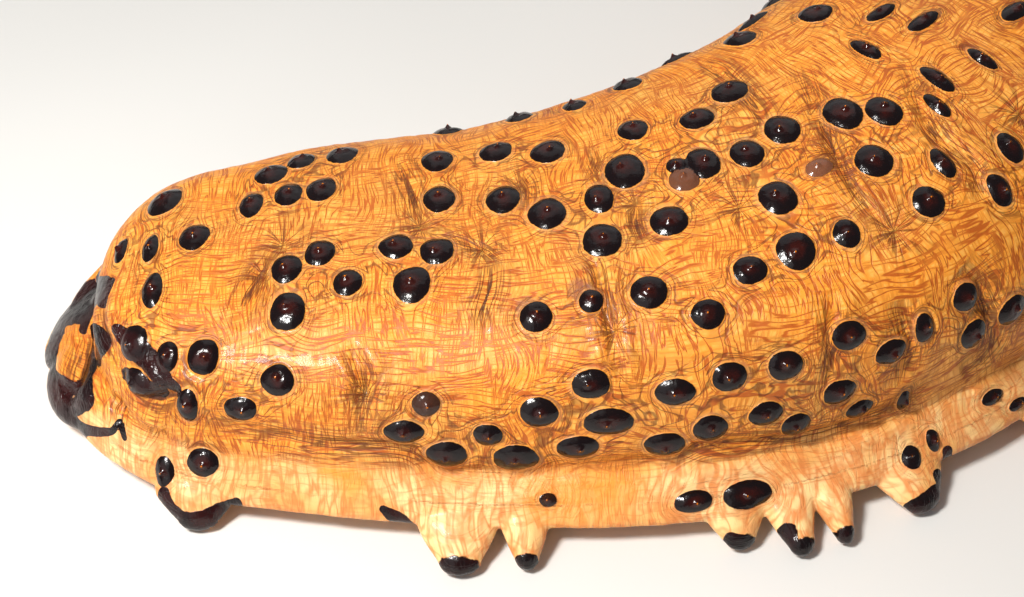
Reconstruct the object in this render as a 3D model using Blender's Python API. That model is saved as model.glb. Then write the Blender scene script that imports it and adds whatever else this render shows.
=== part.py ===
"""A life-size three-rowed sea cucumber, resting on a flat floor.

Units are metres, +Z is up and the floor is z = 0. The midline of the body runs from the head
end at -X and bends towards +Y on its way to the tail. A dorsal dome and a marginal skirt are
swept along it and parted by thin cuts into lengths, which carry the warts and the marginal
papillae. Under and around them lie the sole with three bands of tube feet, the collar of
lobes round the mouth, the crown of mouth tentacles and the rim of the vent.
"""
import math
import random

import bmesh
import bpy
import numpy as np
from mathutils import Matrix, Vector
from mathutils.bvhtree import BVHTree

MM = 0.001

# Whole animal: length along the midline, and the spot where the midline starts
BODY_LENGTH = 297.5 * MM
HEAD_START = (-128.0 * MM, -53.6 * MM)

# Direction of the midline, in degrees from +X, against the distance along it
HEADINGS = (
    (0, 4), (42 * MM, 2), (77 * MM, 5), (114 * MM, 23), (150 * MM, 45),
    (192 * MM, 49), (237 * MM, 34), (297.5 * MM, 15),
)
# Half width of the skirt at its margin, against the distance along the midline
HALF_WIDTHS = (
    (0, 25 * MM), (20 * MM, 30 * MM), (42 * MM, 35 * MM), (67 * MM, 38 * MM),
    (102 * MM, 41.5 * MM), (137 * MM, 42.5 * MM), (177 * MM, 42 * MM),
    (222 * MM, 40 * MM), (262 * MM, 36.5 * MM), (297.5 * MM, 31 * MM),
)
# Height of the back above the floor, against the distance along the midline
HEIGHTS = (
    (0, 28.5 * MM), (22 * MM, 29.5 * MM), (42 * MM, 31.5 * MM), (67 * MM, 34 * MM),
    (102 * MM, 40.5 * MM), (137 * MM, 46.5 * MM), (177 * MM, 46.5 * MM),
    (222 * MM, 43 * MM), (262 * MM, 38 * MM), (297.5 * MM, 32 * MM),
)

# Dorsal dome: share of the skirt's half width, lowest level, and its rounded ends
DOME_SHARE = 0.872
DOME_LOW = 3.6 * MM
DOME_START = 7.5 * MM
DOME_END = BODY_LENGTH - 6 * MM
DOME_FRONT_ROUND = 20 * MM
DOME_REAR_ROUND = 34 * MM
NOSE_HEIGHT = 16.5 * MM
END_POWER = 2.4
DOME_PROFILE = (
    (0, 0), (0.6, 0), (0.88, 0.02), (0.975, 0.12), (1, 0.3), (0.985, 0.47),
    (0.93, 0.65), (0.8, 0.81), (0.56, 0.935), (0.28, 0.985), (0, 1),
)
DOME_POINTS = 34

# Marginal skirt: levels of its profile and its rounded ends
SKIRT_LOW = 2.9 * MM
SKIRT_HIGH = 13.5 * MM
SKIRT_FRONT_ROUND = 30 * MM
SKIRT_REAR_ROUND = 30 * MM
SKIRT_PROFILE = (
    (0, 0), (0.7, 0), (0.88, 0.01), (0.965, 0.07), (1, 0.2), (0.975, 0.4),
    (0.925, 0.62), (0.865, 0.84), (0.72, 1), (0, 1),
)
SKIRT_POINTS = 26

# Cuts that part the body into lengths, and the gap between neighbours
HEAD_CUT = 56 * MM
FRONT_CUT = 112 * MM
MIDDLE_CUT = 168 * MM
REAR_CUT = 226 * MM
COLLAR_CUT = 20 * MM
GAP = 0.3 * MM
OVERRUN = 6 * MM
STATION_STEP = 7 * MM

# Where the eye that saw the animal stood, for sight lines through the spots of the picture
EYE_TILT = math.radians(45)
EYE_DISTANCE = 294 * MM
EYE_AIM = Vector((-54.9 * MM, -36.0 * MM, 0))
PICTURE_COLUMNS = 1024
PICTURE_ROWS = 597
PICTURE_FOCAL = 1706.7
EDGE_STEP = 3
EDGE_STEPS = 12

# Warts: common sizes, and how far they sink into the skin
WART_RADIUS = 2.9 * MM
WART_HEIGHT = 1.7 * MM
WART_SINK = 1.5 * MM
WART_SIDES = 6
WART_STRETCH = (0.72, 1.3)
UNSEEN_SPACING = 13 * MM
UNSEEN_TRIES = 2600
SEED = 11

# Warts in view, as column, row, width and height in the picture
HEAD_WARTS = (
    (288, 194, 29, 25), (321, 189, 31, 26), (271, 173, 33, 21), (251, 204, 24, 32),
    (194, 237, 31, 27), (150, 248, 18, 30), (153, 291, 22, 35), (320, 254, 31, 28),
    (287, 270, 31, 29), (288, 312, 37, 37), (204, 357, 33, 36), (278, 380, 34, 31),
    (241, 408, 34, 25), (189, 404, 22, 30), (168, 357, 24, 32), (134, 343, 32, 36),
    (138, 381, 28, 28), (164, 201, 36, 30), (120, 250, 15, 29), (301, 160, 28, 16),
    (342, 154, 32, 19),
)
MIDDLE_WARTS = (
    (437, 161, 32, 24), (496, 153, 34, 21), (548, 153, 35, 26), (439, 199, 32, 29),
    (503, 200, 34, 29), (547, 214, 38, 32), (599, 199, 30, 29), (625, 172, 40, 35),
    (633, 131, 30, 25), (602, 240, 40, 35), (396, 247, 35, 26), (437, 252, 35, 28),
    (348, 284, 29, 27), (412, 285, 38, 36), (536, 317, 33, 31), (591, 301, 25, 24),
    (649, 292, 38, 34), (426, 404, 28, 26), (591, 384, 39, 30), (448, 128, 30, 18),
    (519, 118, 28, 20), (574, 105, 24, 16),
)
RIGHT_WARTS = (
    (697, 119, 34, 24), (729, 90, 37, 26), (684, 179, 31, 24), (703, 163, 34, 32),
    (747, 153, 34, 29), (782, 129, 36, 31), (843, 113, 39, 34), (884, 111, 36, 32),
    (866, 49, 30, 25), (881, 12, 31, 24), (923, 22, 34, 31), (937, 80, 34, 32),
    (937, 106, 26, 28), (982, 60, 26, 28), (1015, 12, 30, 35), (874, 160, 39, 34),
    (778, 197, 38, 35), (669, 220, 38, 31), (943, 163, 26, 31), (1010, 148, 28, 32),
    (1000, 190, 28, 33), (929, 201, 34, 33), (796, 250, 40, 38), (847, 233, 29, 30),
    (750, 270, 35, 30), (965, 297, 28, 30), (627, 75, 30, 18), (677, 54, 28, 20),
    (739, 37, 32, 18), (752, 20, 32, 22),
)
FLANK_WARTS = (
    (404, 431, 40, 24), (447, 454, 41, 27), (488, 435, 30, 23), (516, 458, 47, 28),
    (539, 413, 39, 29), (609, 423, 51, 29), (578, 448, 43, 24), (665, 445, 42, 25),
    (675, 392, 40, 29), (729, 376, 36, 30), (710, 427, 36, 26), (765, 412, 36, 23),
    (795, 423, 30, 25), (785, 365, 36, 31), (708, 314, 34, 30), (848, 335, 36, 30),
    (924, 328, 20, 29), (890, 351, 33, 26), (972, 333, 27, 31), (1010, 309, 33, 31),
    (839, 391, 36, 24), (859, 408, 29, 20), (903, 400, 14, 21),
)
SKIRT_WARTS = (
    (204, 461, 32, 31), (167, 470, 20, 31), (484, 537, 37, 28), (693, 501, 39, 20),
    (747, 494, 50, 22), (818, 503, 22, 23), (883, 484, 22, 20), (909, 457, 21, 24),
    (931, 440, 15, 23), (991, 397, 25, 16), (1016, 404, 20, 14),
)
SEEN_WARTS = HEAD_WARTS + MIDDLE_WARTS + RIGHT_WARTS + FLANK_WARTS + SKIRT_WARTS

# Marginal papillae of the side in view: distance along the midline, reach and half width
NEAR_PAPILLAE = (
    (24.5 * MM, 3.8 * MM, 6.5 * MM), (63.5 * MM, 7 * MM, 7 * MM), (72.5 * MM, 5.5 * MM, 4 * MM),
    (97.3 * MM, 3.8 * MM, 5 * MM), (103.2 * MM, 7.1 * MM, 4.5 * MM),
    (108 * MM, 6.8 * MM, 3.5 * MM), (117.6 * MM, 5.8 * MM, 6.5 * MM),
)
# Marginal papillae out of view: spacing, and the ranges of their reach and half width
PAPILLA_SPACING = (15 * MM, 23 * MM)
PAPILLA_REACH = (5 * MM, 9 * MM)
PAPILLA_HALF_WIDTH = (5 * MM, 8 * MM)
PAPILLA_TIP_HEIGHT = 1.9 * MM
PAPILLA_ROOT_HEIGHT = 5.6 * MM
PAPILLA_SIDES = 8

# Collar lobes round the front: direction from the head's middle, reach, half width, crest
HEAD_MIDDLE = 21 * MM
COLLAR_LOBES = (
    (116, 24 * MM, 8 * MM, 9 * MM), (142, 24.5 * MM, 9 * MM, 11 * MM),
    (173, 25 * MM, 9.5 * MM, 12.5 * MM), (212, 24.5 * MM, 8.5 * MM, 12 * MM),
    (243, 20.5 * MM, 6 * MM, 9 * MM),
)
LOBE_THICKNESS = 3.2 * MM
LOBE_LOW = 0.6 * MM

# Mouth: hollow under the head, and its crown of tentacles
MOUTH_AT = 19.5 * MM
MOUTH_RADIUS = 10.5 * MM
MOUTH_ROOF = 7 * MM
TENTACLES = 18
TENTACLE_RING = 6.4 * MM
TENTACLE_LOW = 0.7 * MM

# Vent: flat at the end of the dome, and the turned rim set on it
VENT_CUT = DOME_END - 2.2 * MM
VENT_RADIUS = 7 * MM
VENT_HOLE_RADIUS = 1.9 * MM
VENT_HOLE_DEPTH = 2.4 * MM
VENT_DEPTH = 3.4 * MM

# Sole and tube feet
SOLE_LOW = 1.0 * MM
SOLE_HIGH = SKIRT_LOW - GAP
SOLE_SHARE = 0.78
SOLE_START = 37 * MM
SOLE_END = BODY_LENGTH - 20 * MM
SOLE_CUTS = (118 * MM, 198 * MM)
SOLE_PROFILE = ((0, 0), (0.92, 0), (1, 0.45), (1, 1), (0, 1))
FOOT_RADIUS = 0.85 * MM
FOOT_DISC_RADIUS = 1.15 * MM
FOOT_PITCH = 9.2 * MM
FOOT_BANDS = (-0.62, -0.09, 0.09, 0.62)

# Colours as the eye sees them, linear, with roughness
SKIN_COLOURS = {
    "mouth_collar": ((0.03, 0.012, 0.012), 0.32),
    "mouth_tentacles": ((0.12, 0.06, 0.035), 0.4),
    "head_end": ((0.74, 0.33, 0.12), 0.42),
    "front_body": ((0.76, 0.35, 0.13), 0.42),
    "mid_body": ((0.74, 0.34, 0.13), 0.42),
    "rear_body": ((0.70, 0.32, 0.13), 0.42),
    "tail_end": ((0.68, 0.31, 0.12), 0.42),
    "vent_rim": ((0.42, 0.16, 0.07), 0.4),
    "sole_front": ((0.70, 0.42, 0.25), 0.5),
    "sole_mid": ((0.70, 0.42, 0.25), 0.5),
    "sole_rear": ((0.70, 0.42, 0.25), 0.5),
}


def clear_scene():
    """Remove every object, so that the model stands alone."""
    for thing in list(bpy.data.objects):
        bpy.data.objects.remove(thing, do_unlink=True)


def curve_through(table, where):
    """Smooth curve through (position, value) pairs, read at the given positions."""
    at = np.array([pair[0] for pair in table], float)
    value = np.array([pair[1] for pair in table], float)
    slope = np.gradient(value, at)
    where = np.clip(where, at[0], at[-1])
    left = np.clip(np.searchsorted(at, where, side="right") - 1, 0, len(at) - 2)
    span = at[left + 1] - at[left]
    t = (where - at[left]) / span
    start = (2 * t ** 3 - 3 * t ** 2 + 1) * value[left]
    start_slope = (t ** 3 - 2 * t ** 2 + t) * span * slope[left]
    end = (3 * t ** 2 - 2 * t ** 3) * value[left + 1]
    end_slope = (t ** 3 - t ** 2) * span * slope[left + 1]
    return start + start_slope + end + end_slope


def lay_midline(steps=900):
    """Points of the midline, found by adding up its headings step by step."""
    along = np.linspace(0, BODY_LENGTH, steps)
    heading = np.radians(curve_through(HEADINGS, along))
    east = np.cos(heading)
    north = np.sin(heading)
    step = along[1] - along[0]
    x = HEAD_START[0] + np.append(0, np.cumsum((east[1:] + east[:-1]) / 2 * step))
    y = HEAD_START[1] + np.append(0, np.cumsum((north[1:] + north[:-1]) / 2 * step))
    return along, x, y


ALONG, MIDLINE_X, MIDLINE_Y = lay_midline()


def midline(s):
    """Point on the floor under the midline, with the heading there."""
    x = float(np.interp(s, ALONG, MIDLINE_X))
    y = float(np.interp(s, ALONG, MIDLINE_Y))
    return Vector((x, y, 0)), math.radians(float(curve_through(HEADINGS, s)))


def beside(s, across, height):
    """Point at a distance along the midline, across it to the left, and above the floor."""
    foot, heading = midline(s)
    left = Vector((-math.sin(heading), math.cos(heading), 0))
    return foot + left * across + Vector((0, 0, height))


def half_width(s):
    """Half width of the skirt."""
    return float(curve_through(HALF_WIDTHS, s))


def rounding(s, start, end, front_round, rear_round):
    """Share of the full section that the rounded ends leave at s."""
    front = min(max((s - start) / front_round, 0), 1)
    rear = min(max((end - s) / rear_round, 0), 1)
    share = 1.0
    for part in (front, rear):
        share *= (1 - (1 - part) ** END_POWER) ** (1 / END_POWER)
    return max(share, 0.05)


def outline(profile, count):
    """Closed smooth outline through a half profile and its mirror image."""
    half = np.array(profile, float)
    loop = np.vstack([half * (-1, 1), half[1:-1][::-1]])
    size = len(loop)
    length = np.linalg.norm(np.roll(loop, -1, 0) - loop, axis=1)
    total = np.append(0, np.cumsum(length))
    where = np.linspace(0, total[-1], count, endpoint=False)
    i = np.clip(np.searchsorted(total, where, side="right") - 1, 0, size - 1)
    t = ((where - total[i]) / length[i])[:, None]
    before, here = loop[(i - 1) % size], loop[i]
    after, later = loop[(i + 1) % size], loop[(i + 2) % size]
    rise = (2 * before - 5 * here + 4 * after - later) * t ** 2
    turn = (3 * here - before - 3 * after + later) * t ** 3
    return 0.5 * (2 * here + (after - before) * t + rise + turn)


DOME_OUTLINE = outline(DOME_PROFILE, DOME_POINTS)
SKIRT_OUTLINE = outline(SKIRT_PROFILE, SKIRT_POINTS)
SOLE_OUTLINE = [(-x, y) for x, y in SOLE_PROFILE] + list(SOLE_PROFILE[-2:0:-1])


def dome_ring(s, swell=0.0):
    """Ring of the dorsal dome, swollen all round and pushed forward by a clearance."""
    share = rounding(s, DOME_START, DOME_END, DOME_FRONT_ROUND, DOME_REAR_ROUND)
    wide = half_width(s) * DOME_SHARE * share + swell
    top = NOSE_HEIGHT + (float(curve_through(HEIGHTS, s)) - NOSE_HEIGHT) * share + swell
    low = NOSE_HEIGHT + (DOME_LOW - NOSE_HEIGHT) * share ** 0.8 - swell
    return [beside(s - swell, wide * x, low + (top - low) * y) for x, y in DOME_OUTLINE]


def skirt_ring(s):
    """Ring of the marginal skirt."""
    share = rounding(s, 0, BODY_LENGTH, SKIRT_FRONT_ROUND, SKIRT_REAR_ROUND)
    wide = half_width(s) * share
    high = (SKIRT_HIGH - SKIRT_LOW) * (0.45 + 0.55 * share)
    return [beside(s, wide * x, SKIRT_LOW + high * y) for x, y in SKIRT_OUTLINE]


def sole_ring(s):
    """Ring of the flat sole under the body."""
    share = rounding(s, SOLE_START, SOLE_END, 14 * MM, 14 * MM)
    wide = half_width(s) * SOLE_SHARE * max(share, 0.4)
    thick = SOLE_HIGH - SOLE_LOW
    return [beside(s, wide * x, SOLE_LOW + thick * y) for x, y in SOLE_OUTLINE]


def stations(start, end):
    """Even distances along the midline, closer together near the rounded ends."""
    close = [DOME_START + share * DOME_FRONT_ROUND for share in (0, 0.03, 0.1, 0.22, 0.42, 0.68)]
    close += [DOME_END - share * DOME_REAR_ROUND for share in (0, 0.03, 0.1, 0.25, 0.45, 0.7)]
    first = DOME_START + DOME_FRONT_ROUND
    last = DOME_END - DOME_REAR_ROUND
    count = round((last - first) / STATION_STEP)
    even = [first + (last - first) * i / count for i in range(count + 1)]
    kept = [s for s in close + even if start + MM < s < end - MM]
    return sorted([start, end] + kept)


def make_object(name, mesh):
    """Object in the scene for a bmesh, which is freed."""
    data = bpy.data.meshes.new(name)
    mesh.to_mesh(data)
    mesh.free()
    thing = bpy.data.objects.new(name, data)
    bpy.context.scene.collection.objects.link(thing)
    return thing


def loft(rings):
    """Closed bmesh through rings of equal length, with flat ends, faces pointing out."""
    mesh = bmesh.new()
    rows = [[mesh.verts.new(point) for point in ring] for ring in rings]
    count = len(rows[0])
    for lower, upper in zip(rows, rows[1:]):
        for i in range(count):
            j = (i + 1) % count
            mesh.faces.new((lower[i], lower[j], upper[j], upper[i]))
    mesh.faces.new(rows[0][::-1])
    mesh.faces.new(rows[-1])
    bmesh.ops.recalc_face_normals(mesh, faces=mesh.faces)
    return mesh


def skin_tree():
    """Search tree of the plain outer skin, for placing what grows on it."""
    points = []
    faces = []
    for maker, start, end in ((dome_ring, DOME_START, DOME_END), (skirt_ring, 0, BODY_LENGTH)):
        rows = [maker(s) for s in stations(start, end)]
        count = len(rows[0])
        base = len(points)
        points += [point for row in rows for point in row]
        for row in range(len(rows) - 1):
            for i in range(count):
                a = base + row * count + i
                b = base + row * count + (i + 1) % count
                faces.append((a, b, b + count, a + count))
        faces.append([base + i for i in range(count)])
        faces.append([base + (len(rows) - 1) * count + i for i in range(count)])
    return BVHTree.FromPolygons(points, faces)


def eye():
    """Place of the eye, with the directions that point right, up and ahead from it."""
    right = Vector((1, 0, 0))
    up = Vector((0, math.sin(EYE_TILT), math.cos(EYE_TILT)))
    ahead = Vector((0, math.cos(EYE_TILT), -math.sin(EYE_TILT)))
    return EYE_AIM - ahead * EYE_DISTANCE, right, up, ahead


def in_picture(point):
    """Column, row and depth at which the eye sees a point."""
    place, right, up, ahead = eye()
    line = point - place
    depth = line.dot(ahead)
    column = PICTURE_COLUMNS / 2 + PICTURE_FOCAL * line.dot(right) / depth
    row = PICTURE_ROWS / 2 - PICTURE_FOCAL * line.dot(up) / depth
    return column, row, depth


def sight(tree, column, row):
    """Point of the skin on the line of sight through a spot of the picture, and its normal."""
    place, right, up, ahead = eye()
    across = (column - PICTURE_COLUMNS / 2) / PICTURE_FOCAL
    rise = (PICTURE_ROWS / 2 - row) / PICTURE_FOCAL
    line = (ahead + right * across + up * rise).normalized()
    point, normal, _, _ = tree.ray_cast(place, line)
    if point is not None and normal.dot(line) > 0:
        normal = -normal
    return point, normal


def along_body(point):
    """Distance along the midline of the spot nearest to a point."""
    gap = (MIDLINE_X - point.x) ** 2 + (MIDLINE_Y - point.y) ** 2
    return float(ALONG[int(np.argmin(gap))])


def surface_axes(point, normal):
    """Directions on the skin along the body and around it."""
    _, heading = midline(along_body(point))
    along = Vector((math.cos(heading), math.sin(heading), 0))
    along = (along - normal * along.dot(normal)).normalized()
    return along, normal.cross(along).normalized()


def true_radii(point, normal, wide, tall):
    """Radii along and around the body of a wart that looks so wide and so tall."""
    _, right, up, _ = eye()
    along, around = surface_axes(point, normal)
    scale = PICTURE_FOCAL / in_picture(point)[2]
    seen = np.array([
        [along.dot(right) ** 2, around.dot(right) ** 2],
        [along.dot(up) ** 2, around.dot(up) ** 2],
    ]) * scale ** 2
    squares = np.linalg.lstsq(seen, np.array([wide, tall]) ** 2 / 4, rcond=None)[0]
    common = max(wide, tall) / 2 / scale
    least, most = WART_STRETCH
    return [min(max(math.sqrt(max(s, 0)), common * least), common * most) for s in squares]


def seen_warts(tree):
    """Warts that the picture shows, as place, normal and two radii."""
    warts = []
    for column, row, wide, tall in SEEN_WARTS:
        for step in range(EDGE_STEPS):
            point, normal = sight(tree, column, row + step * EDGE_STEP)
            if point is not None:
                warts.append((point, normal, *true_radii(point, normal, wide, tall)))
                break
    return warts


def in_view(tree, point, normal):
    """Whether the picture would show the tip of a wart at this spot of the skin."""
    tip = point + normal * (WART_HEIGHT + MM)
    column, row, _ = in_picture(tip)
    if not (0 < column < PICTURE_COLUMNS and 0 < row < PICTURE_ROWS):
        return False
    place = eye()[0]
    line = tip - place
    return tree.ray_cast(place, line.normalized(), line.length)[0] is None


def unseen_warts(tree, seen):
    """Seeded warts, evenly scattered over the skin that the picture doesn't show."""
    draw = random.Random(SEED)
    places = [wart[0] for wart in seen]
    warts = []
    for _ in range(UNSEEN_TRIES):
        s = draw.uniform(DOME_START, DOME_END)
        turn = draw.uniform(math.radians(8), math.radians(172))
        size = draw.uniform(0.8, 1.12)
        middle = beside(s, 0, 8 * MM)
        outward = (beside(s, math.cos(turn), 8 * MM + math.sin(turn)) - middle).normalized()
        point, normal, _, _ = tree.ray_cast(middle + outward * 100 * MM, -outward)
        if point is None or point.z < 7 * MM:
            continue
        if min((point - other).length for other in places) < UNSEEN_SPACING:
            continue
        if normal.dot(outward) < 0:
            normal = -normal
        if in_view(tree, point, normal):
            continue
        places.append(point)
        warts.append((point, normal, WART_RADIUS * size, WART_RADIUS * size))
    return warts


def wart(place, normal, radius_along, radius_around, swell=0.0):
    """Low six-sided cone of a wart, its root sunk in the skin."""
    along, around = surface_axes(place, normal)
    mesh = bmesh.new()
    rings = []
    for reach, lift in ((1.14, -WART_SINK - swell), (0.66, 0.72 * WART_HEIGHT + swell)):
        ring = []
        for i in range(WART_SIDES):
            turn = 2 * math.pi * (i + 0.25) / WART_SIDES
            east = (radius_along * reach + swell) * math.cos(turn)
            north = (radius_around * reach + swell) * math.sin(turn)
            point = place + along * east + around * north + normal * lift
            ring.append(mesh.verts.new(point))
        rings.append(ring)
    tip = mesh.verts.new(place + normal * (WART_HEIGHT + swell))
    for i in range(WART_SIDES):
        j = (i + 1) % WART_SIDES
        mesh.faces.new((rings[0][i], rings[0][j], rings[1][j], rings[1][i]))
        mesh.faces.new((rings[1][i], rings[1][j], tip))
    mesh.faces.new(rings[0][::-1])
    bmesh.ops.recalc_face_normals(mesh, faces=mesh.faces)
    return mesh


def papilla(s, side, reach, half, swell=0.0):
    """Flattened cone that stands out from the skirt's margin, its root sunk in it."""
    wide = half_width(s) * rounding(s, 0, BODY_LENGTH, SKIRT_FRONT_ROUND, SKIRT_REAR_ROUND)
    _, heading = midline(s)
    along = Vector((math.cos(heading), math.sin(heading), 0))
    steps = (
        (-0.13 * wide - swell, 1.0, 2.6 * MM, PAPILLA_ROOT_HEIGHT),
        (0.1 * reach, 0.82, 2.3 * MM, PAPILLA_ROOT_HEIGHT - 1.4 * MM),
        (0.65 * reach, 0.5, 1.8 * MM, PAPILLA_TIP_HEIGHT + 0.7 * MM),
        (reach + swell, 0.2, 0.9 * MM, PAPILLA_TIP_HEIGHT),
    )
    rings = []
    for out, share, thick, level in steps:
        ring = []
        for i in range(PAPILLA_SIDES):
            turn = 2 * math.pi * i / PAPILLA_SIDES
            shift = (half * share + swell * 1.5) * math.cos(turn)
            height = level + (thick + swell) * math.sin(turn)
            ring.append(beside(s, side * (wide + out), height) + along * shift)
        rings.append(ring)
    return loft(rings)


def margin_papillae():
    """All marginal papillae, as distance, side, reach and half width."""
    rows = [(s, -1, reach, half) for s, reach, half in NEAR_PAPILLAE]
    draw = random.Random(SEED + 1)
    for side, start in ((-1, NEAR_PAPILLAE[-1][0] + 19 * MM), (1, 26 * MM)):
        s = start
        while s < BODY_LENGTH - 12 * MM:
            rows.append((s, side, draw.uniform(*PAPILLA_REACH), draw.uniform(*PAPILLA_HALF_WIDTH)))
            s += draw.uniform(*PAPILLA_SPACING)
    return rows


def combine(body, pieces, operation="UNION"):
    """Join pieces to a body, or cut them from it, in one Boolean, and remove them."""
    if not pieces:
        return body
    group = bpy.data.collections.new("pieces")
    bpy.context.scene.collection.children.link(group)
    for piece in pieces:
        group.objects.link(piece)
    boolean = body.modifiers.new("combine", "BOOLEAN")
    boolean.operation = operation
    boolean.operand_type = "COLLECTION"
    boolean.collection = group
    boolean.solver = "EXACT"
    graph = bpy.context.evaluated_depsgraph_get()
    result = bpy.data.meshes.new_from_object(body.evaluated_get(graph))
    body.modifiers.clear()
    body.data = result
    for piece in pieces:
        bpy.data.objects.remove(piece, do_unlink=True)
    bpy.data.collections.remove(group)
    return body


def slice_off(body, s, forward):
    """Cut a body square to the midline at s, keep the side behind or before it, and cap it."""
    foot, heading = midline(s)
    ahead = Vector((math.cos(heading), math.sin(heading), 0))
    mesh = bmesh.new()
    mesh.from_mesh(body.data)
    everything = mesh.verts[:] + mesh.edges[:] + mesh.faces[:]
    bmesh.ops.bisect_plane(
        mesh, geom=everything, dist=1e-7, plane_co=foot, plane_no=ahead if forward else -ahead,
        clear_outer=True)
    rim = [edge for edge in mesh.edges if edge.is_boundary]
    bmesh.ops.holes_fill(mesh, edges=rim, sides=0)
    mesh.to_mesh(body.data)
    mesh.free()


def keep_largest(body):
    """Keep only the largest closed surface of a body, clean of slivers, faces pointing out."""
    mesh = bmesh.new()
    mesh.from_mesh(body.data)
    bmesh.ops.remove_doubles(mesh, verts=mesh.verts, dist=0.004 * MM)
    bmesh.ops.dissolve_degenerate(mesh, edges=mesh.edges, dist=0.004 * MM)
    bmesh.ops.triangulate(mesh, faces=mesh.faces)
    unseen = set(mesh.faces)
    shells = []
    while unseen:
        shell = []
        front = [unseen.pop()]
        while front:
            face = front.pop()
            shell.append(face)
            for edge in face.edges:
                for other in edge.link_faces:
                    if other in unseen:
                        unseen.remove(other)
                        front.append(other)
        shells.append(shell)
    shells.sort(key=lambda shell: sum(face.calc_area() for face in shell))
    scraps = [face for shell in shells[:-1] for face in shell]
    bmesh.ops.delete(mesh, geom=scraps, context="FACES")
    bmesh.ops.recalc_face_normals(mesh, faces=mesh.faces)
    mesh.to_mesh(body.data)
    mesh.free()


def dress(thing):
    """Give a node its own material and smooth shading."""
    colour, roughness = SKIN_COLOURS[thing.name]
    material = bpy.data.materials.new(thing.name + "_skin")
    material.use_nodes = True
    shader = material.node_tree.nodes["Principled BSDF"]
    shader.inputs["Base Color"].default_value = (*colour, 1)
    shader.inputs["Roughness"].default_value = roughness
    shader.inputs["Metallic"].default_value = 0
    thing.data.materials.clear()
    thing.data.materials.append(material)
    thing.data.shade_smooth()
    thing.data.set_sharp_from_angle(angle=math.radians(40))


def near_length(s, start, end):
    """Whether what grows at s belongs to the length from start to end, with its overrun."""
    return start - OVERRUN + 2 * MM < s < end + OVERRUN - 2 * MM


def length_warts(warts, start, end):
    """Meshes of the warts on one length, those across its cuts among them."""
    return [wart(*row) for row in warts if near_length(along_body(row[0]), start, end)]


def length_papillae(rows, start, end):
    """Meshes of the marginal papillae on one length."""
    return [papilla(*row) for row in rows if near_length(row[0], start, end)]


def build_length(name, start, end, warts, papillae, open_front, open_rear):
    """One length of the body, from the dome, the skirt and what grows on them."""
    dome_from = start - OVERRUN if open_front else DOME_START
    dome_to = end + OVERRUN if open_rear else end
    skirt_from = start - OVERRUN + MM if open_front else COLLAR_CUT + GAP
    skirt_to = end + OVERRUN - MM if open_rear else BODY_LENGTH
    body = make_object(name, loft([dome_ring(s) for s in stations(dome_from, dome_to)]))
    grown = [loft([skirt_ring(s) for s in stations(skirt_from, skirt_to)])]
    grown += length_warts(warts, start, end) + length_papillae(papillae, start, end)
    combine(body, [make_object("piece", mesh) for mesh in grown])
    if open_rear:
        slice_off(body, end - GAP / 2, True)
    if open_front:
        slice_off(body, start + GAP / 2, False)
    return body


def head_warts(warts):
    """Warts of the head end, without those low on the collar in front of it."""
    near = [row for row in warts if along_body(row[0]) < HEAD_CUT + OVERRUN]
    return [row for row in near if along_body(row[0]) > COLLAR_CUT or row[0].z > 13 * MM]


def build_head(warts, papillae):
    """Head end, hollowed underneath for the mouth."""
    body = build_length("head_end", DOME_START, HEAD_CUT, head_warts(warts), papillae, False, True)
    combine(body, [make_object("piece", mouth_plug(MOUTH_RADIUS, MOUTH_ROOF))], "DIFFERENCE")
    keep_largest(body)
    return body


def mouth_plug(radius, roof):
    """Round plug with a bevelled roof, standing through the floor under the mouth."""
    rings = []
    for share, level in ((1, -1 * MM), (1, roof - 2.5 * MM), (0.8, roof - 0.6 * MM), (0.4, roof)):
        ring = []
        for i in range(20):
            turn = 2 * math.pi * i / 20
            point = beside(MOUTH_AT, radius * share * math.sin(turn), level)
            ring.append(point + Vector((radius * share * math.cos(turn), 0, 0)))
        rings.append(ring)
    return loft(rings)


def lobe(degrees, reach, half, crest):
    """Collar lobe: a flap that leans out from the head and down to the floor."""
    middle, _ = midline(HEAD_MIDDLE)
    turn = math.radians(degrees)
    out = Vector((math.cos(turn), math.sin(turn), 0))
    tip = middle + out * (reach - half * 0.2) + Vector((0, 0, LOBE_LOW + LOBE_THICKNESS))
    root = middle + out * (reach - half * 1.35) + Vector((0, 0, crest))
    slope = (tip - root).normalized()
    side = Vector((0, 0, 1)).cross(out).normalized()
    lean = side.cross(slope).normalized()
    size = Matrix.Diagonal(((tip - root).length / 2 + LOBE_THICKNESS * 0.4, half, LOBE_THICKNESS))
    turn_to = Matrix((slope, side, lean)).transposed()
    place = Matrix.Translation((root + tip) / 2) @ (turn_to @ size).to_4x4()
    mesh = bmesh.new()
    bmesh.ops.create_uvsphere(mesh, u_segments=12, v_segments=7, radius=1, matrix=place)
    bmesh.ops.recalc_face_normals(mesh, faces=mesh.faces)
    return mesh


def build_collar(warts, papillae):
    """Collar of lobes round the mouth, cut clear of the head that it leans on."""
    body = make_object("mouth_collar", loft([skirt_ring(s) for s in stations(0, COLLAR_CUT)]))
    combine(body, [make_object("piece", lobe(*row)) for row in COLLAR_LOBES])
    cutters = [loft([dome_ring(s, GAP) for s in stations(DOME_START, HEAD_CUT)])]
    cutters.append(mouth_plug(MOUTH_RADIUS + GAP, MOUTH_ROOF + 3 * MM))
    cutters += [papilla(*row, GAP) for row in papillae if row[0] < HEAD_CUT]
    cutters += [wart(*row, GAP) for row in head_warts(warts)]
    combine(body, [make_object("piece", mesh) for mesh in cutters], "DIFFERENCE")
    slice_off(body, COLLAR_CUT, True)
    keep_largest(body)
    return body


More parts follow.
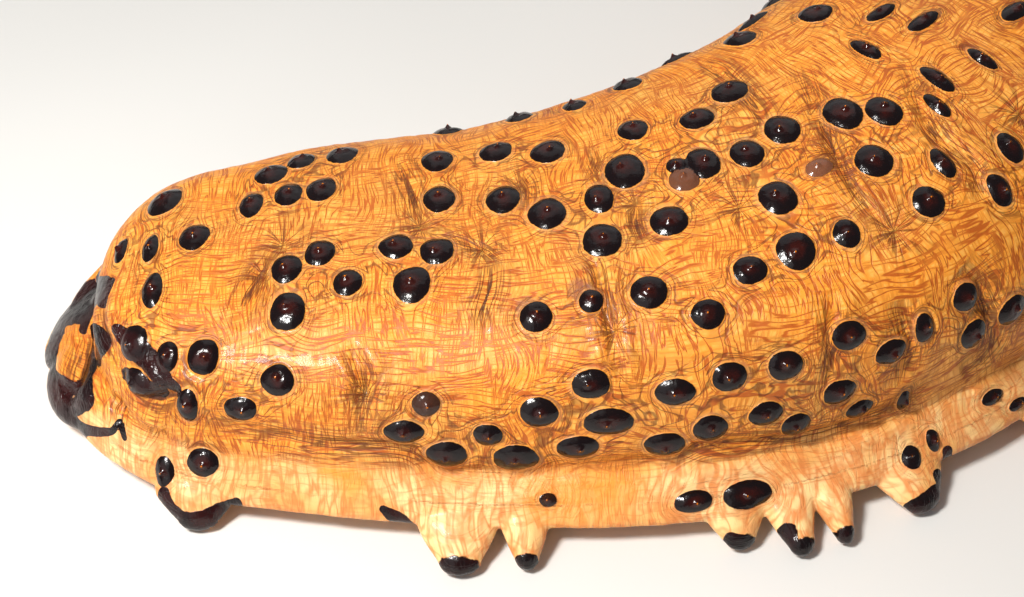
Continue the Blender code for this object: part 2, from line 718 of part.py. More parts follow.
def tentacle(turn):
    """Mouth tentacle: a short stalk that widens into a folded disc near the floor."""
    middle = beside(MOUTH_AT, 0, 0)
    out = Vector((math.cos(turn), math.sin(turn), 0))
    side = Vector((-math.sin(turn), math.cos(turn), 0))
    stages = (
        (TENTACLE_RING, 0.75 * MM, MOUTH_ROOF - 2.2 * MM),
        (TENTACLE_RING + 0.7 * MM, 0.7 * MM, 2.6 * MM),
        (TENTACLE_RING + 1.5 * MM, 1.2 * MM, 1.5 * MM),
        (TENTACLE_RING + 1.6 * MM, 1.0 * MM, TENTACLE_LOW),
    )
    rings = []
    for away, radius, level in stages:
        ring = []
        for i in range(6):
            spin = 2 * math.pi * i / 6
            shift = out * (away + radius * math.cos(spin)) + side * radius * math.sin(spin)
            ring.append(middle + shift + Vector((0, 0, level)))
        rings.append(ring)
    return loft(rings)


def build_tentacles():
    """Crown of tentacles on the disc that closes the mouth hollow."""
    disc = mouth_plug(MOUTH_RADIUS - GAP, MOUTH_ROOF - GAP)
    keep = MOUTH_ROOF - 3.2 * MM
    bmesh.ops.bisect_plane(
        disc, geom=disc.verts[:] + disc.edges[:] + disc.faces[:], dist=1e-7,
        plane_co=(0, 0, keep), plane_no=(0, 0, -1), clear_outer=True)
    bmesh.ops.holes_fill(disc, edges=[edge for edge in disc.edges if edge.is_boundary], sides=0)
    body = make_object("mouth_tentacles", disc)
    turns = [2 * math.pi * (i + 0.5) / TENTACLES for i in range(TENTACLES)]
    combine(body, [make_object("piece", tentacle(turn)) for turn in turns])
    keep_largest(body)
    return body


def build_tail(warts, papillae):
    """Tail end, with a flat on its dome for the rim of the vent."""
    body = build_length("tail_end", REAR_CUT, DOME_END, warts, papillae, True, False)
    flat = vent_disc(VENT_RADIUS + 6 * MM, 0, 12 * MM)
    combine(body, [make_object("piece", flat)], "DIFFERENCE")
    keep_largest(body)
    return body


def vent_disc(radius, start, end):
    """Round block behind the vent's flat, from start to end along the midline."""
    foot, heading = midline(VENT_CUT)
    back = Vector((math.cos(heading), math.sin(heading), 0))
    left = Vector((-math.sin(heading), math.cos(heading), 0))
    up = Vector((0, 0, 1))
    rings = []
    for away in (start, end):
        ring = []
        for i in range(24):
            turn = 2 * math.pi * i / 24
            spoke = left * math.cos(turn) * radius + up * math.sin(turn) * radius
            ring.append(foot + up * NOSE_HEIGHT + back * away + spoke)
        rings.append(ring)
    return loft(rings)


def build_vent():
    """Turned rim of the vent, a low ring round a blind hole."""
    foot, heading = midline(VENT_CUT)
    back = Vector((math.cos(heading), math.sin(heading), 0))
    left = Vector((-math.sin(heading), math.cos(heading), 0))
    up = Vector((0, 0, 1))
    centre = foot + up * NOSE_HEIGHT
    steps = (
        (1.0, GAP), (0.96, GAP + 1.2 * MM), (0.72, VENT_DEPTH * 0.86), (0.5, VENT_DEPTH),
        (VENT_HOLE_RADIUS / VENT_RADIUS, VENT_DEPTH * 0.9),
        (VENT_HOLE_RADIUS / VENT_RADIUS * 0.7, VENT_DEPTH * 0.9 - VENT_HOLE_DEPTH),
    )
    rings = []
    for share, away in steps:
        ring = []
        for i in range(20):
            turn = 2 * math.pi * i / 20
            pucker = 1 + (0.06 * math.cos(5 * turn) if 0.3 < share < 0.99 else 0)
            spoke = (left * math.cos(turn) + up * math.sin(turn)) * VENT_RADIUS * share * pucker
            ring.append(centre + back * away + spoke)
        rings.append(ring)
    return make_object("vent_rim", loft(rings))


def tube_foot(s, across):
    """Tube foot: a short stalk with a wider disc flat on the floor."""
    rings = []
    for radius, level in ((FOOT_RADIUS, SOLE_LOW + 0.6 * MM), (FOOT_DISC_RADIUS, 0)):
        ring = []
        for i in range(6):
            turn = 2 * math.pi * i / 6
            point = beside(s, across + radius * math.sin(turn), level)
            ring.append(point + Vector((radius * math.cos(turn), 0, 0)))
        rings.append(ring)
    return loft(rings)


def build_sole(name, start, end):
    """Length of the sole with its three bands of tube feet."""
    body = make_object(name, loft([sole_ring(s) for s in stations(start, end)]))
    feet = []
    count = int((end - start - 5 * MM) / FOOT_PITCH)
    for step in range(count + 1):
        for index, band in enumerate(FOOT_BANDS):
            s = start + 3 * MM + step * FOOT_PITCH + (index % 2) * FOOT_PITCH * 0.35
            if s < end - 2 * MM:
                feet.append(tube_foot(s, band * half_width(s)))
    combine(body, [make_object("piece", mesh) for mesh in feet])
    keep_largest(body)
    return body


def main():
    """Build every node of the animal."""
    clear_scene()
    tree = skin_tree()
    seen = seen_warts(tree)
    warts = seen + unseen_warts(tree, seen)
    papillae = margin_papillae()
    nodes = [build_collar(warts, papillae), build_tentacles(), build_head(warts, papillae)]
    lengths = (("front_body", HEAD_CUT, FRONT_CUT), ("mid_body", FRONT_CUT, MIDDLE_CUT),
               ("rear_body", MIDDLE_CUT, REAR_CUT))
    for name, start, end in lengths:
        body = build_length(name, start, end, warts, papillae, True, True)
        keep_largest(body)
        nodes.append(body)
    nodes += [build_tail(warts, papillae), build_vent()]
    ends = (SOLE_START, *SOLE_CUTS, SOLE_END)
    for name, start, end in zip(("sole_front", "sole_mid", "sole_rear"), ends, ends[1:]):
        nodes.append(build_sole(name, start + GAP / 2, end - GAP / 2))
    for node in nodes:
        dress(node)


main()
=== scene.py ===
"""Looks of a life-size three-rowed sea cucumber that rests on a flat floor.

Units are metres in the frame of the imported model: +Z is up and the floor is z = 0. One fused
skin stands for every length of the body, the collar, the vent and the sole. It is grown from the
same dome, skirt, lobes and papillae as the solids, fused in small voxels, then raised into warts
and drawn into creases. Tube feet and mouth tentacles are pieces of their own under it.
"""
import logging
import math
import random
from dataclasses import dataclass
from enum import Enum
from functools import cached_property
from itertools import product
from typing import Any, Sequence

import bmesh
import bpy
import numpy as np
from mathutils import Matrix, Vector
from mathutils.bvhtree import BVHTree


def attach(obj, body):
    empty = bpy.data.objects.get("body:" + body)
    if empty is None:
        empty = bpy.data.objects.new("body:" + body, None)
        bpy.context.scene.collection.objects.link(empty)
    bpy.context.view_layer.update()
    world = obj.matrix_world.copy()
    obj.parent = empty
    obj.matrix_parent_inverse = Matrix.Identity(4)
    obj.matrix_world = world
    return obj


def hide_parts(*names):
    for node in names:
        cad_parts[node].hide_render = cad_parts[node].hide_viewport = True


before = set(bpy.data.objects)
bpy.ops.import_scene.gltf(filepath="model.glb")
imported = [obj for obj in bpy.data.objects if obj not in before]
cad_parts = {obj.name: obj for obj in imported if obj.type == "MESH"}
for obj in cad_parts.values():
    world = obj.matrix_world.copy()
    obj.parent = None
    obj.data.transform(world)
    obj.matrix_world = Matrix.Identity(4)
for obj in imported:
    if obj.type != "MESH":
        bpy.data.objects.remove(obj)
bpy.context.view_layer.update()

MM = 0.001
TURN = 2 * math.pi

Table = tuple[tuple[float, float], ...]
Spot = tuple[float, float, float, float]
Trail = tuple[tuple[float, float, float], ...]
Colour = tuple[float, float, float]
Fields = dict[str, np.ndarray]
Socket = bpy.types.NodeSocket

log = logging.getLogger("sea_cucumber")


class Side(Enum):
    """The two sides of the body, as signs across the midline."""

    RIGHT = -1
    LEFT = 1


def curve_through(table: Table, where: Any) -> np.ndarray:
    """Smooth curve through (position, value) pairs.

    Args:
        table: the pairs, by rising position.
        where: positions at which the curve is read.

    Returns:
        The values there, of the same shape as where.
    """
    at = np.array([pair[0] for pair in table], float)
    value = np.array([pair[1] for pair in table], float)
    slope = np.gradient(value, at)
    where = np.clip(where, at[0], at[-1])
    left = np.clip(np.searchsorted(at, where, side="right") - 1, 0, len(at) - 2)
    span = at[left + 1] - at[left]
    t = (where - at[left]) / span
    start = (2 * t ** 3 - 3 * t ** 2 + 1) * value[left]
    start_slope = (t ** 3 - 2 * t ** 2 + t) * span * slope[left]
    end = (3 * t ** 2 - 2 * t ** 3) * value[left + 1]
    end_slope = (t ** 3 - t ** 2) * span * slope[left + 1]
    return start + start_slope + end + end_slope


def smooth_step(low: float, high: float, value: np.ndarray) -> np.ndarray:
    """Ease from 0 at low to 1 at high."""
    t = np.clip((value - low) / (high - low), 0, 1)
    return t * t * (3 - 2 * t)


def bell(value: np.ndarray, width: float) -> np.ndarray:
    """Bell curve, 1 at zero and e to the -1 at width."""
    return np.exp(-(value / width) ** 2)


@dataclass(frozen=True)
class SmoothNoise:
    """Seeded value noise, from -1 to 1, that varies smoothly over cells of one size."""

    seed: int
    cell: float

    def at(self, points: np.ndarray) -> np.ndarray:
        """Noise at an array of points, one value for each row.

        Args:
            points: array of points, one row for each.

        Returns:
            The noise, one value for each point.
        """
        lattice = np.random.default_rng(self.seed).uniform(-1, 1, 4096)
        place = points / self.cell
        base = np.floor(place).astype(np.int64)
        part = place - base
        part = part * part * (3 - 2 * part)
        total = np.zeros(len(points))
        for corner in product((0, 1), repeat=3):
            x, y, z = (base + np.array(corner)).T
            key = ((x * 73856093) ^ (y * 19349663) ^ (z * 83492791)) & 4095
            weight = np.prod(np.where(np.array(corner) == 1, part, 1 - part), axis=1)
            total += lattice[key] * weight
        return total


@dataclass
class Shell:
    """A closed surface, as points and faces that index them."""

    points: np.ndarray
    faces: list[tuple[int, ...]]


def loft(rings: Sequence[np.ndarray]) -> Shell:
    """Closed shell through rings of equal length, with flat ends.

    Args:
        rings: arrays of points, one for each ring, in order.

    Returns:
        The shell.
    """
    count = len(rings[0])
    faces: list[tuple[int, ...]] = []
    for row in range(len(rings) - 1):
        for i in range(count):
            a = row * count + i
            b = row * count + (i + 1) % count
            faces.append((a, b, b + count, a + count))
    faces.append(tuple(range(count))[::-1])
    faces.append(tuple(range((len(rings) - 1) * count, len(rings) * count)))
    return Shell(np.vstack(rings), faces)


def object_of(name: str, shells: Sequence[Shell]) -> bpy.types.Object:
    """Object in the scene that joins shells, their faces pointing out.

    Args:
        name: name of the object.
        shells: the closed surfaces that it joins.

    Returns:
        The object.
    """
    points = np.vstack([shell.points for shell in shells])
    faces: list[tuple[int, ...]] = []
    base = 0
    for shell in shells:
        faces += [tuple(base + i for i in face) for face in shell.faces]
        base += len(shell.points)
    data = bpy.data.meshes.new(name)
    data.from_pydata(points.tolist(), [], faces)
    mesh = bmesh.new()
    mesh.from_mesh(data)
    bmesh.ops.recalc_face_normals(mesh, faces=mesh.faces)
    mesh.to_mesh(data)
    mesh.free()
    thing = bpy.data.objects.new(name, data)
    bpy.context.scene.collection.objects.link(thing)
    return thing


@dataclass(frozen=True)
class Midline:
    """Bent line on the floor under the middle of the body, from the head end to the tail."""

    length: float = 297.5 * MM
    start: tuple[float, float] = (-128.0 * MM, -53.6 * MM)
    headings: Table = (
        (0, 4), (42 * MM, 2), (77 * MM, 5), (114 * MM, 23), (150 * MM, 45),
        (192 * MM, 49), (237 * MM, 34), (297.5 * MM, 15),
    )
    steps: int = 900
    search_rounds: int = 12

    @cached_property
    def walk(self) -> tuple[np.ndarray, np.ndarray, np.ndarray]:
        """Distances along the line with the x and y reached there."""
        along = np.linspace(0, self.length, self.steps)
        heading = self.heading(along)
        east, north = np.cos(heading), np.sin(heading)
        step = along[1] - along[0]
        x = self.start[0] + np.append(0, np.cumsum((east[1:] + east[:-1]) / 2 * step))
        y = self.start[1] + np.append(0, np.cumsum((north[1:] + north[:-1]) / 2 * step))
        return along, x, y

    def heading(self, s: Any) -> np.ndarray:
        """Direction of the line at s, in radians from +X."""
        return np.radians(curve_through(self.headings, s))

    def beside(self, s: Any, across: Any, height: Any) -> np.ndarray:
        """Points at a distance along the line, across it to the left, and above the floor.

        Args:
            s: distance along the line.
            across: distance to the left of it.
            height: height above the floor.

        Returns:
            An array of points, one row for each.
        """
        s, across, height = np.broadcast_arrays(s, across, height)
        along, x, y = self.walk
        heading = self.heading(s)
        east = np.interp(s, along, x) - np.sin(heading) * across
        north = np.interp(s, along, y) + np.cos(heading) * across
        return np.stack([east, north, height], axis=-1)

    def locate(self, points: np.ndarray) -> tuple[np.ndarray, np.ndarray]:
        """Distance along the line and across it, for points above the floor.

        Args:
            points: array of points, one row for each.

        Returns:
            The distance along the line and the distance to its left, for each point.
        """
        along, x, y = self.walk
        s = np.interp(points[:, 0], x, along)
        across = np.zeros(len(points))
        for _ in range(self.search_rounds):
            heading = self.heading(s)
            east = points[:, 0] - np.interp(s, along, x)
            north = points[:, 1] - np.interp(s, along, y)
            across = -np.sin(heading) * east + np.cos(heading) * north
            ahead = np.cos(heading) * east + np.sin(heading) * north
            s = np.clip(s + 0.7 * ahead, 0, self.length)
        return s, across

    def axes(self, place: Vector, normal: Vector) -> tuple[Vector, Vector]:
        """Directions on the skin along the body and around it, at a place of that normal.

        Args:
            place: a place on the skin.
            normal: outward normal there.

        Returns:
            The direction along the body and the one around it.
        """
        s, _ = self.locate(np.array([place]))
        heading = float(self.heading(s)[0])
        along = Vector((math.cos(heading), math.sin(heading), 0))
        along = (along - normal * along.dot(normal)).normalized()
        return along, normal.cross(along).normalized()


def outline(profile: Table, count: int) -> np.ndarray:
    """Closed smooth outline through a half profile and its mirror image.

    Args:
        profile: points from the middle of the underside to the middle of the top.
        count: points on the whole outline.

    Returns:
        Array of (across, up) pairs, as shares of the half width and the height.
    """
    half = np.array(profile, float)
    loop = np.vstack([half * (-1, 1), half[1:-1][::-1]])
    size = len(loop)
    length = np.linalg.norm(np.roll(loop, -1, 0) - loop, axis=1)
    total = np.append(0, np.cumsum(length))
    where = np.linspace(0, total[-1], count, endpoint=False)
    i = np.clip(np.searchsorted(total, where, side="right") - 1, 0, size - 1)
    t = ((where - total[i]) / length[i])[:, None]
    before, here = loop[(i - 1) % size], loop[i]
    after, later = loop[(i + 1) % size], loop[(i + 2) % size]
    rise = (2 * before - 5 * here + 4 * after - later) * t ** 2
    turn = (3 * here - before - 3 * after + later) * t ** 3
    return 0.5 * (2 * here + (after - before) * t + rise + turn)


@dataclass(frozen=True)
class Torso:
    """Dorsal dome and marginal skirt, swept along the midline, with the sole under them."""

    midline: Midline = Midline()
    half_widths: Table = (
        (0, 25 * MM), (20 * MM, 30 * MM), (42 * MM, 35 * MM), (67 * MM, 38 * MM),
        (102 * MM, 41.5 * MM), (137 * MM, 42.5 * MM), (177 * MM, 42 * MM),
        (222 * MM, 40 * MM), (262 * MM, 36.5 * MM), (297.5 * MM, 31 * MM),
    )
    heights: Table = (
        (0, 28.5 * MM), (22 * MM, 29.5 * MM), (42 * MM, 31.5 * MM), (67 * MM, 34 * MM),
        (102 * MM, 40.5 * MM), (137 * MM, 46.5 * MM), (177 * MM, 46.5 * MM),
        (222 * MM, 43 * MM), (262 * MM, 38 * MM), (297.5 * MM, 32 * MM),
    )
    dome_share: float = 0.872
    dome_low: float = 3.6 * MM
    dome_start: float = 7.5 * MM
    dome_tail: float = 6 * MM
    dome_rounds: tuple[float, float] = (20 * MM, 34 * MM)
    nose_height: float = 16.5 * MM
    end_power: float = 2.4
    dome_profile: Table = (
        (0, 0), (0.6, 0), (0.88, 0.02), (0.975, 0.12), (1, 0.3), (0.985, 0.47),
        (0.93, 0.65), (0.8, 0.81), (0.56, 0.935), (0.28, 0.985), (0, 1),
    )
    skirt_low: float = 2.9 * MM
    skirt_high: float = 13.5 * MM
    skirt_round: float = 30 * MM
    skirt_profile: Table = (
        (0, 0), (0.7, 0), (0.88, 0.01), (0.965, 0.07), (1, 0.2), (0.975, 0.4),
        (0.925, 0.62), (0.865, 0.84), (0.72, 1), (0, 1),
    )
    core_height: float = 8 * MM
    clear_distance: float = 100 * MM
    sole_low: float = 1.0 * MM
    sole_share: float = 0.78
    sole_span: tuple[float, float] = (37 * MM, 277.5 * MM)
    sole_profile: Table = ((0, 0), (0.92, 0), (1, 0.45), (1, 1), (0, 1))

    @property
    def dome_end(self) -> float:
        """Where the dome ends along the midline."""
        return self.midline.length - self.dome_tail

    def half_width(self, s: Any) -> np.ndarray:
        """Half width of the skirt."""
        return curve_through(self.half_widths, s)

    def height(self, s: Any) -> np.ndarray:
        """Height of the back."""
        return curve_through(self.heights, s)

    def rounding(self, s: Any, start: float, end: float, rounds: tuple[float, float]) -> np.ndarray:
        """Share of the full section that rounded ends leave at s.

        Args:
            s: distance along the midline.
            start: where the front end is.
            end: where the rear end is.
            rounds: lengths of the front and the rear rounding.

        Returns:
            The share, at least 0.05.
        """
        front = np.clip((s - start) / rounds[0], 0, 1)
        rear = np.clip((end - s) / rounds[1], 0, 1)
        power = self.end_power
        share = (1 - (1 - front) ** power) ** (1 / power) * (1 - (1 - rear) ** power) ** (1 / power)
        return np.maximum(share, 0.05)

    def margin(self, s: Any) -> np.ndarray:
        """Half width of the skirt with its rounded ends."""
        rounds = (self.skirt_round, self.skirt_round)
        return self.half_width(s) * self.rounding(s, 0, self.midline.length, rounds)

    def dome_ring(self, s: float, count: int) -> np.ndarray:
        """Ring of the dorsal dome at s.

        Args:
            s: distance along the midline.
            count: points on the ring.

        Returns:
            The points of the ring, one row for each.
        """
        share = self.rounding(s, self.dome_start, self.dome_end, self.dome_rounds)
        wide = self.half_width(s) * self.dome_share * share
        top = self.nose_height + (self.height(s) - self.nose_height) * share
        low = self.nose_height + (self.dome_low - self.nose_height) * share ** 0.8
        x, y = outline(self.dome_profile, count).T
        return self.midline.beside(s, wide * x, low + (top - low) * y)

    def skirt_ring(self, s: float, count: int) -> np.ndarray:
        """Ring of the marginal skirt at s.

        Args:
            s: distance along the midline.
            count: points on the ring.

        Returns:
            The points of the ring, one row for each.
        """
        rounds = (self.skirt_round, self.skirt_round)
        share = self.rounding(s, 0, self.midline.length, rounds)
        high = (self.skirt_high - self.skirt_low) * (0.45 + 0.55 * share)
        x, y = outline(self.skirt_profile, count).T
        return self.midline.beside(s, self.margin(s) * x, self.skirt_low + high * y)

    def sole_ring(self, s: float) -> np.ndarray:
        """Ring of the sole at s, its top sunk in the skirt.

        Args:
            s: distance along the midline.

        Returns:
            The points of the ring, one row for each.
        """
        share = self.rounding(s, *self.sole_span, (14 * MM, 14 * MM))
        wide = self.half_width(s) * self.sole_share * np.maximum(share, 0.4)
        thick = self.skirt_low + 1.2 * MM - self.sole_low
        half = np.array(self.sole_profile)
        x, y = np.vstack([half * (-1, 1), half[1:-1][::-1]]).T
        return self.midline.beside(s, wide * x, self.sole_low + thick * y)

    def stations(self, start: float, end: float, step: float = 7 * MM) -> list[float]:
        """Even distances along the midline, closer together near the rounded ends.

        Args:
            start: first distance.
            end: last distance.
            step: about how far apart they are on the long stretch.

        Returns:
            The distances, rising.
        """
        front_round, rear_round = self.dome_rounds
        shares = (0, 0.03, 0.1, 0.22, 0.42, 0.68)
        close = [self.dome_start + share * front_round for share in shares]
        close += [self.dome_end - share * rear_round for share in (0, 0.03, 0.1, 0.25, 0.45, 0.7)]
        first = self.dome_start + front_round
        last = self.dome_end - rear_round
        count = round((last - first) / step)
        even = [first + (last - first) * i / count for i in range(count + 1)]
        kept = [s for s in close + even if start + MM < s < end - MM]
        return sorted([start, end] + kept)

    def fine_stations(self, start: float, end: float, count: int = 190) -> np.ndarray:
        """Distances along the midline that crowd towards both ends."""
        turn = np.linspace(0, math.pi, count)
        return start + (end - start) * (0.5 - 0.5 * np.cos(turn))

    def shells(self) -> list[Shell]:
        """Fine shells of the dome, the skirt and the sole.

        Returns:
            The three shells.
        """
        length = self.midline.length
        dome = loft([self.dome_ring(s, 120) for s in self.fine_stations(self.dome_start, self.dome_end)])
        skirt = loft([self.skirt_ring(s, 110) for s in self.fine_stations(0, length)])
        sole = loft([self.sole_ring(s) for s in self.fine_stations(*self.sole_span)])
        return [dome, skirt, sole]

    def plain_tree(self) -> BVHTree:
        """Search tree of the plain dome and skirt, for placing what grows on them.

        Returns:
            The tree.
        """
        length = self.midline.length
        dome = loft([self.dome_ring(s, 34) for s in self.stations(self.dome_start, self.dome_end)])
        skirt = loft([self.skirt_ring(s, 26) for s in self.stations(0, length)])
        points = np.vstack([dome.points, skirt.points])
        base = len(dome.points)
        faces = dome.faces + [tuple(base + i for i in face) for face in skirt.faces]
        return BVHTree.FromPolygons([Vector(point) for point in points], faces)


@dataclass(frozen=True)
class Eye:
    """Where the eye stands that sees the animal as the picture does."""

    tilt: float = math.radians(45)
    distance: float = 294 * MM
    aim: tuple[float, float, float] = (-54.9 * MM, -36.0 * MM, 0)
    columns: int = 1024
    rows: int = 597
    focal: float = 1706.7
    edge_step: int = 3
    edge_steps: int = 12

    @cached_property
    def axes(self) -> tuple[Vector, Vector, Vector, Vector]:
        """Place of the eye, and the directions right, up and ahead of it.

        Returns:
            The place and the three directions.
        """
        right = Vector((1, 0, 0))
        up = Vector((0, math.sin(self.tilt), math.cos(self.tilt)))
        ahead = Vector((0, math.cos(self.tilt), -math.sin(self.tilt)))
        return Vector(self.aim) - ahead * self.distance, right, up, ahead

    def in_picture(self, point: Vector) -> tuple[float, float, float]:
        """Column, row and depth at which the eye sees a point.

        Args:
            point: a point of the scene.

        Returns:
            The column, the row and the depth ahead of the eye.
        """
        place, right, up, ahead = self.axes
        line = point - place
        depth = line.dot(ahead)
        column = self.columns / 2 + self.focal * line.dot(right) / depth
        row = self.rows / 2 - self.focal * line.dot(up) / depth
        return column, row, depth

    def picture(self, points: np.ndarray) -> np.ndarray:
        """Column and row at which the eye sees each of an array of points.

        Args:
            points: array of points, one row for each.

        Returns:
            Columns and rows, one row for each point.
        """
        place, right, up, ahead = (np.array(axis) for axis in self.axes)
        line = points - place
        scale = self.focal / (line @ ahead)
        columns = self.columns / 2 + line @ right * scale
        rows = self.rows / 2 - line @ up * scale
        return np.stack([columns, rows], axis=1)

    def sight(self, tree: BVHTree, column: float, row: float) -> tuple[Vector | None, Vector | None]:
        """Point of the skin seen at a spot of the picture, and its normal.

        Args:
            tree: search tree of the skin.
            column: column of the spot.
            row: row of the spot.

        Returns:
            The point and its outward normal, or None twice where the line misses the skin.
        """
        place, right, up, ahead = self.axes
        across = (column - self.columns / 2) / self.focal
        rise = (self.rows / 2 - row) / self.focal
        line = (ahead + right * across + up * rise).normalized()
        point, normal, _, _ = tree.ray_cast(place, line)
        if point is not None and normal.dot(line) > 0:
            normal = -normal
        return point, normal

    def sight_below(self, tree: BVHTree, column: float, row: float) -> tuple[Vector | None, Vector | None]:
        """As sight, but stepping down the picture until the line meets the skin.

        Args:
            tree: search tree of the skin.
            column: column of the spot.
            row: row of the spot.

        Returns:
            The point and its outward normal, or None twice.
        """
        for step in range(self.edge_steps):
            point, normal = self.sight(tree, column, row + step * self.edge_step)
            if point is not None:
                return point, normal
        return None, None

    def sees(self, tree: BVHTree, tip: Vector) -> bool:
        """Whether the picture shows a tip that stands on the skin.

        Args:
            tree: search tree of the skin.
            tip: the tip.

        Returns:
            Whether it lies in the picture with nothing before it.
        """
        column, row, _ = self.in_picture(tip)
        if not (0 < column < self.columns and 0 < row < self.rows):
            return False
        line = tip - self.axes[0]
        return tree.ray_cast(self.axes[0], line.normalized(), line.length)[0] is None


def course(spots: Trail) -> np.ndarray:
    """Smooth run of column, row and half width through spots of the picture.

    Args:
        spots: column, row and half width of each spot.

    Returns:
        Rows of column, row and half width, ten for each spot.
    """
    table = np.array(spots, float)
    at = tuple(range(len(table)))
    fine = np.linspace(0, len(table) - 1, 10 * len(table))
    return np.stack([curve_through(tuple(zip(at, values)), fine) for values in table.T], axis=1)


def trace(eye: Eye, tree: BVHTree, spots: Trail) -> np.ndarray:
    """Line on the skin through spots of the picture.

    Args:
        eye: the eye that sees the spots.
        tree: search tree of the skin.
        spots: column, row and half width of each spot, in pixels.

    Returns:
        Rows of x, y, z and half width in metres, close together along the line.
    """
    line = []
    for column, row, half in course(spots):
        place, _ = eye.sight(tree, column, row)
        if place is not None:
            line.append((*place, half * eye.in_picture(place)[2] / eye.focal))
    return np.array(line)


def away_from(line: np.ndarray, points: np.ndarray, reach: float,
              leap: float = 7 * MM) -> tuple[np.ndarray, np.ndarray, np.ndarray, np.ndarray]:
    """Where points lie beside a line.

    Args:
        line: rows of x, y, z and half width.
        points: the points.
        reach: how far from the line is looked.
        leap: a longer stretch between two rows is a gap in the line.

    Returns:
        Indices of the points near the line, and for each its distance from the line, the share of
        the line's length there, and half the line's width there.
    """
    low = line[:, :3].min(axis=0) - reach
    high = line[:, :3].max(axis=0) + reach
    near = np.nonzero(np.all((points > low) & (points < high), axis=1))[0]
    gap = np.full(len(near), np.inf)
    share = np.zeros(len(near))
    half = np.full(len(near), line[0, 3])
    for i in range(len(line) - 1):
        start, span = line[i, :3], line[i + 1, :3] - line[i, :3]
        if np.linalg.norm(span) > leap:
            continue
        t = np.clip((points[near] - start) @ span / max(span @ span, 1e-12), 0, 1)
        here = np.linalg.norm(points[near] - start - t[:, None] * span, axis=1)
        closer = here < gap
        gap[closer] = here[closer]
        share[closer] = (i + t[closer]) / (len(line) - 1)
        half[closer] = (line[i, 3] + t * (line[i + 1, 3] - line[i, 3]))[closer]
    return near, gap, share, half


@dataclass(frozen=True)
class Wart:
    """One wart: its place on the skin, its two radii and how dark it is."""

    place: Vector
    normal: Vector
    along: Vector
    around: Vector
    radius_along: float
    radius_around: float
    height: float
    tone: float = 1.0


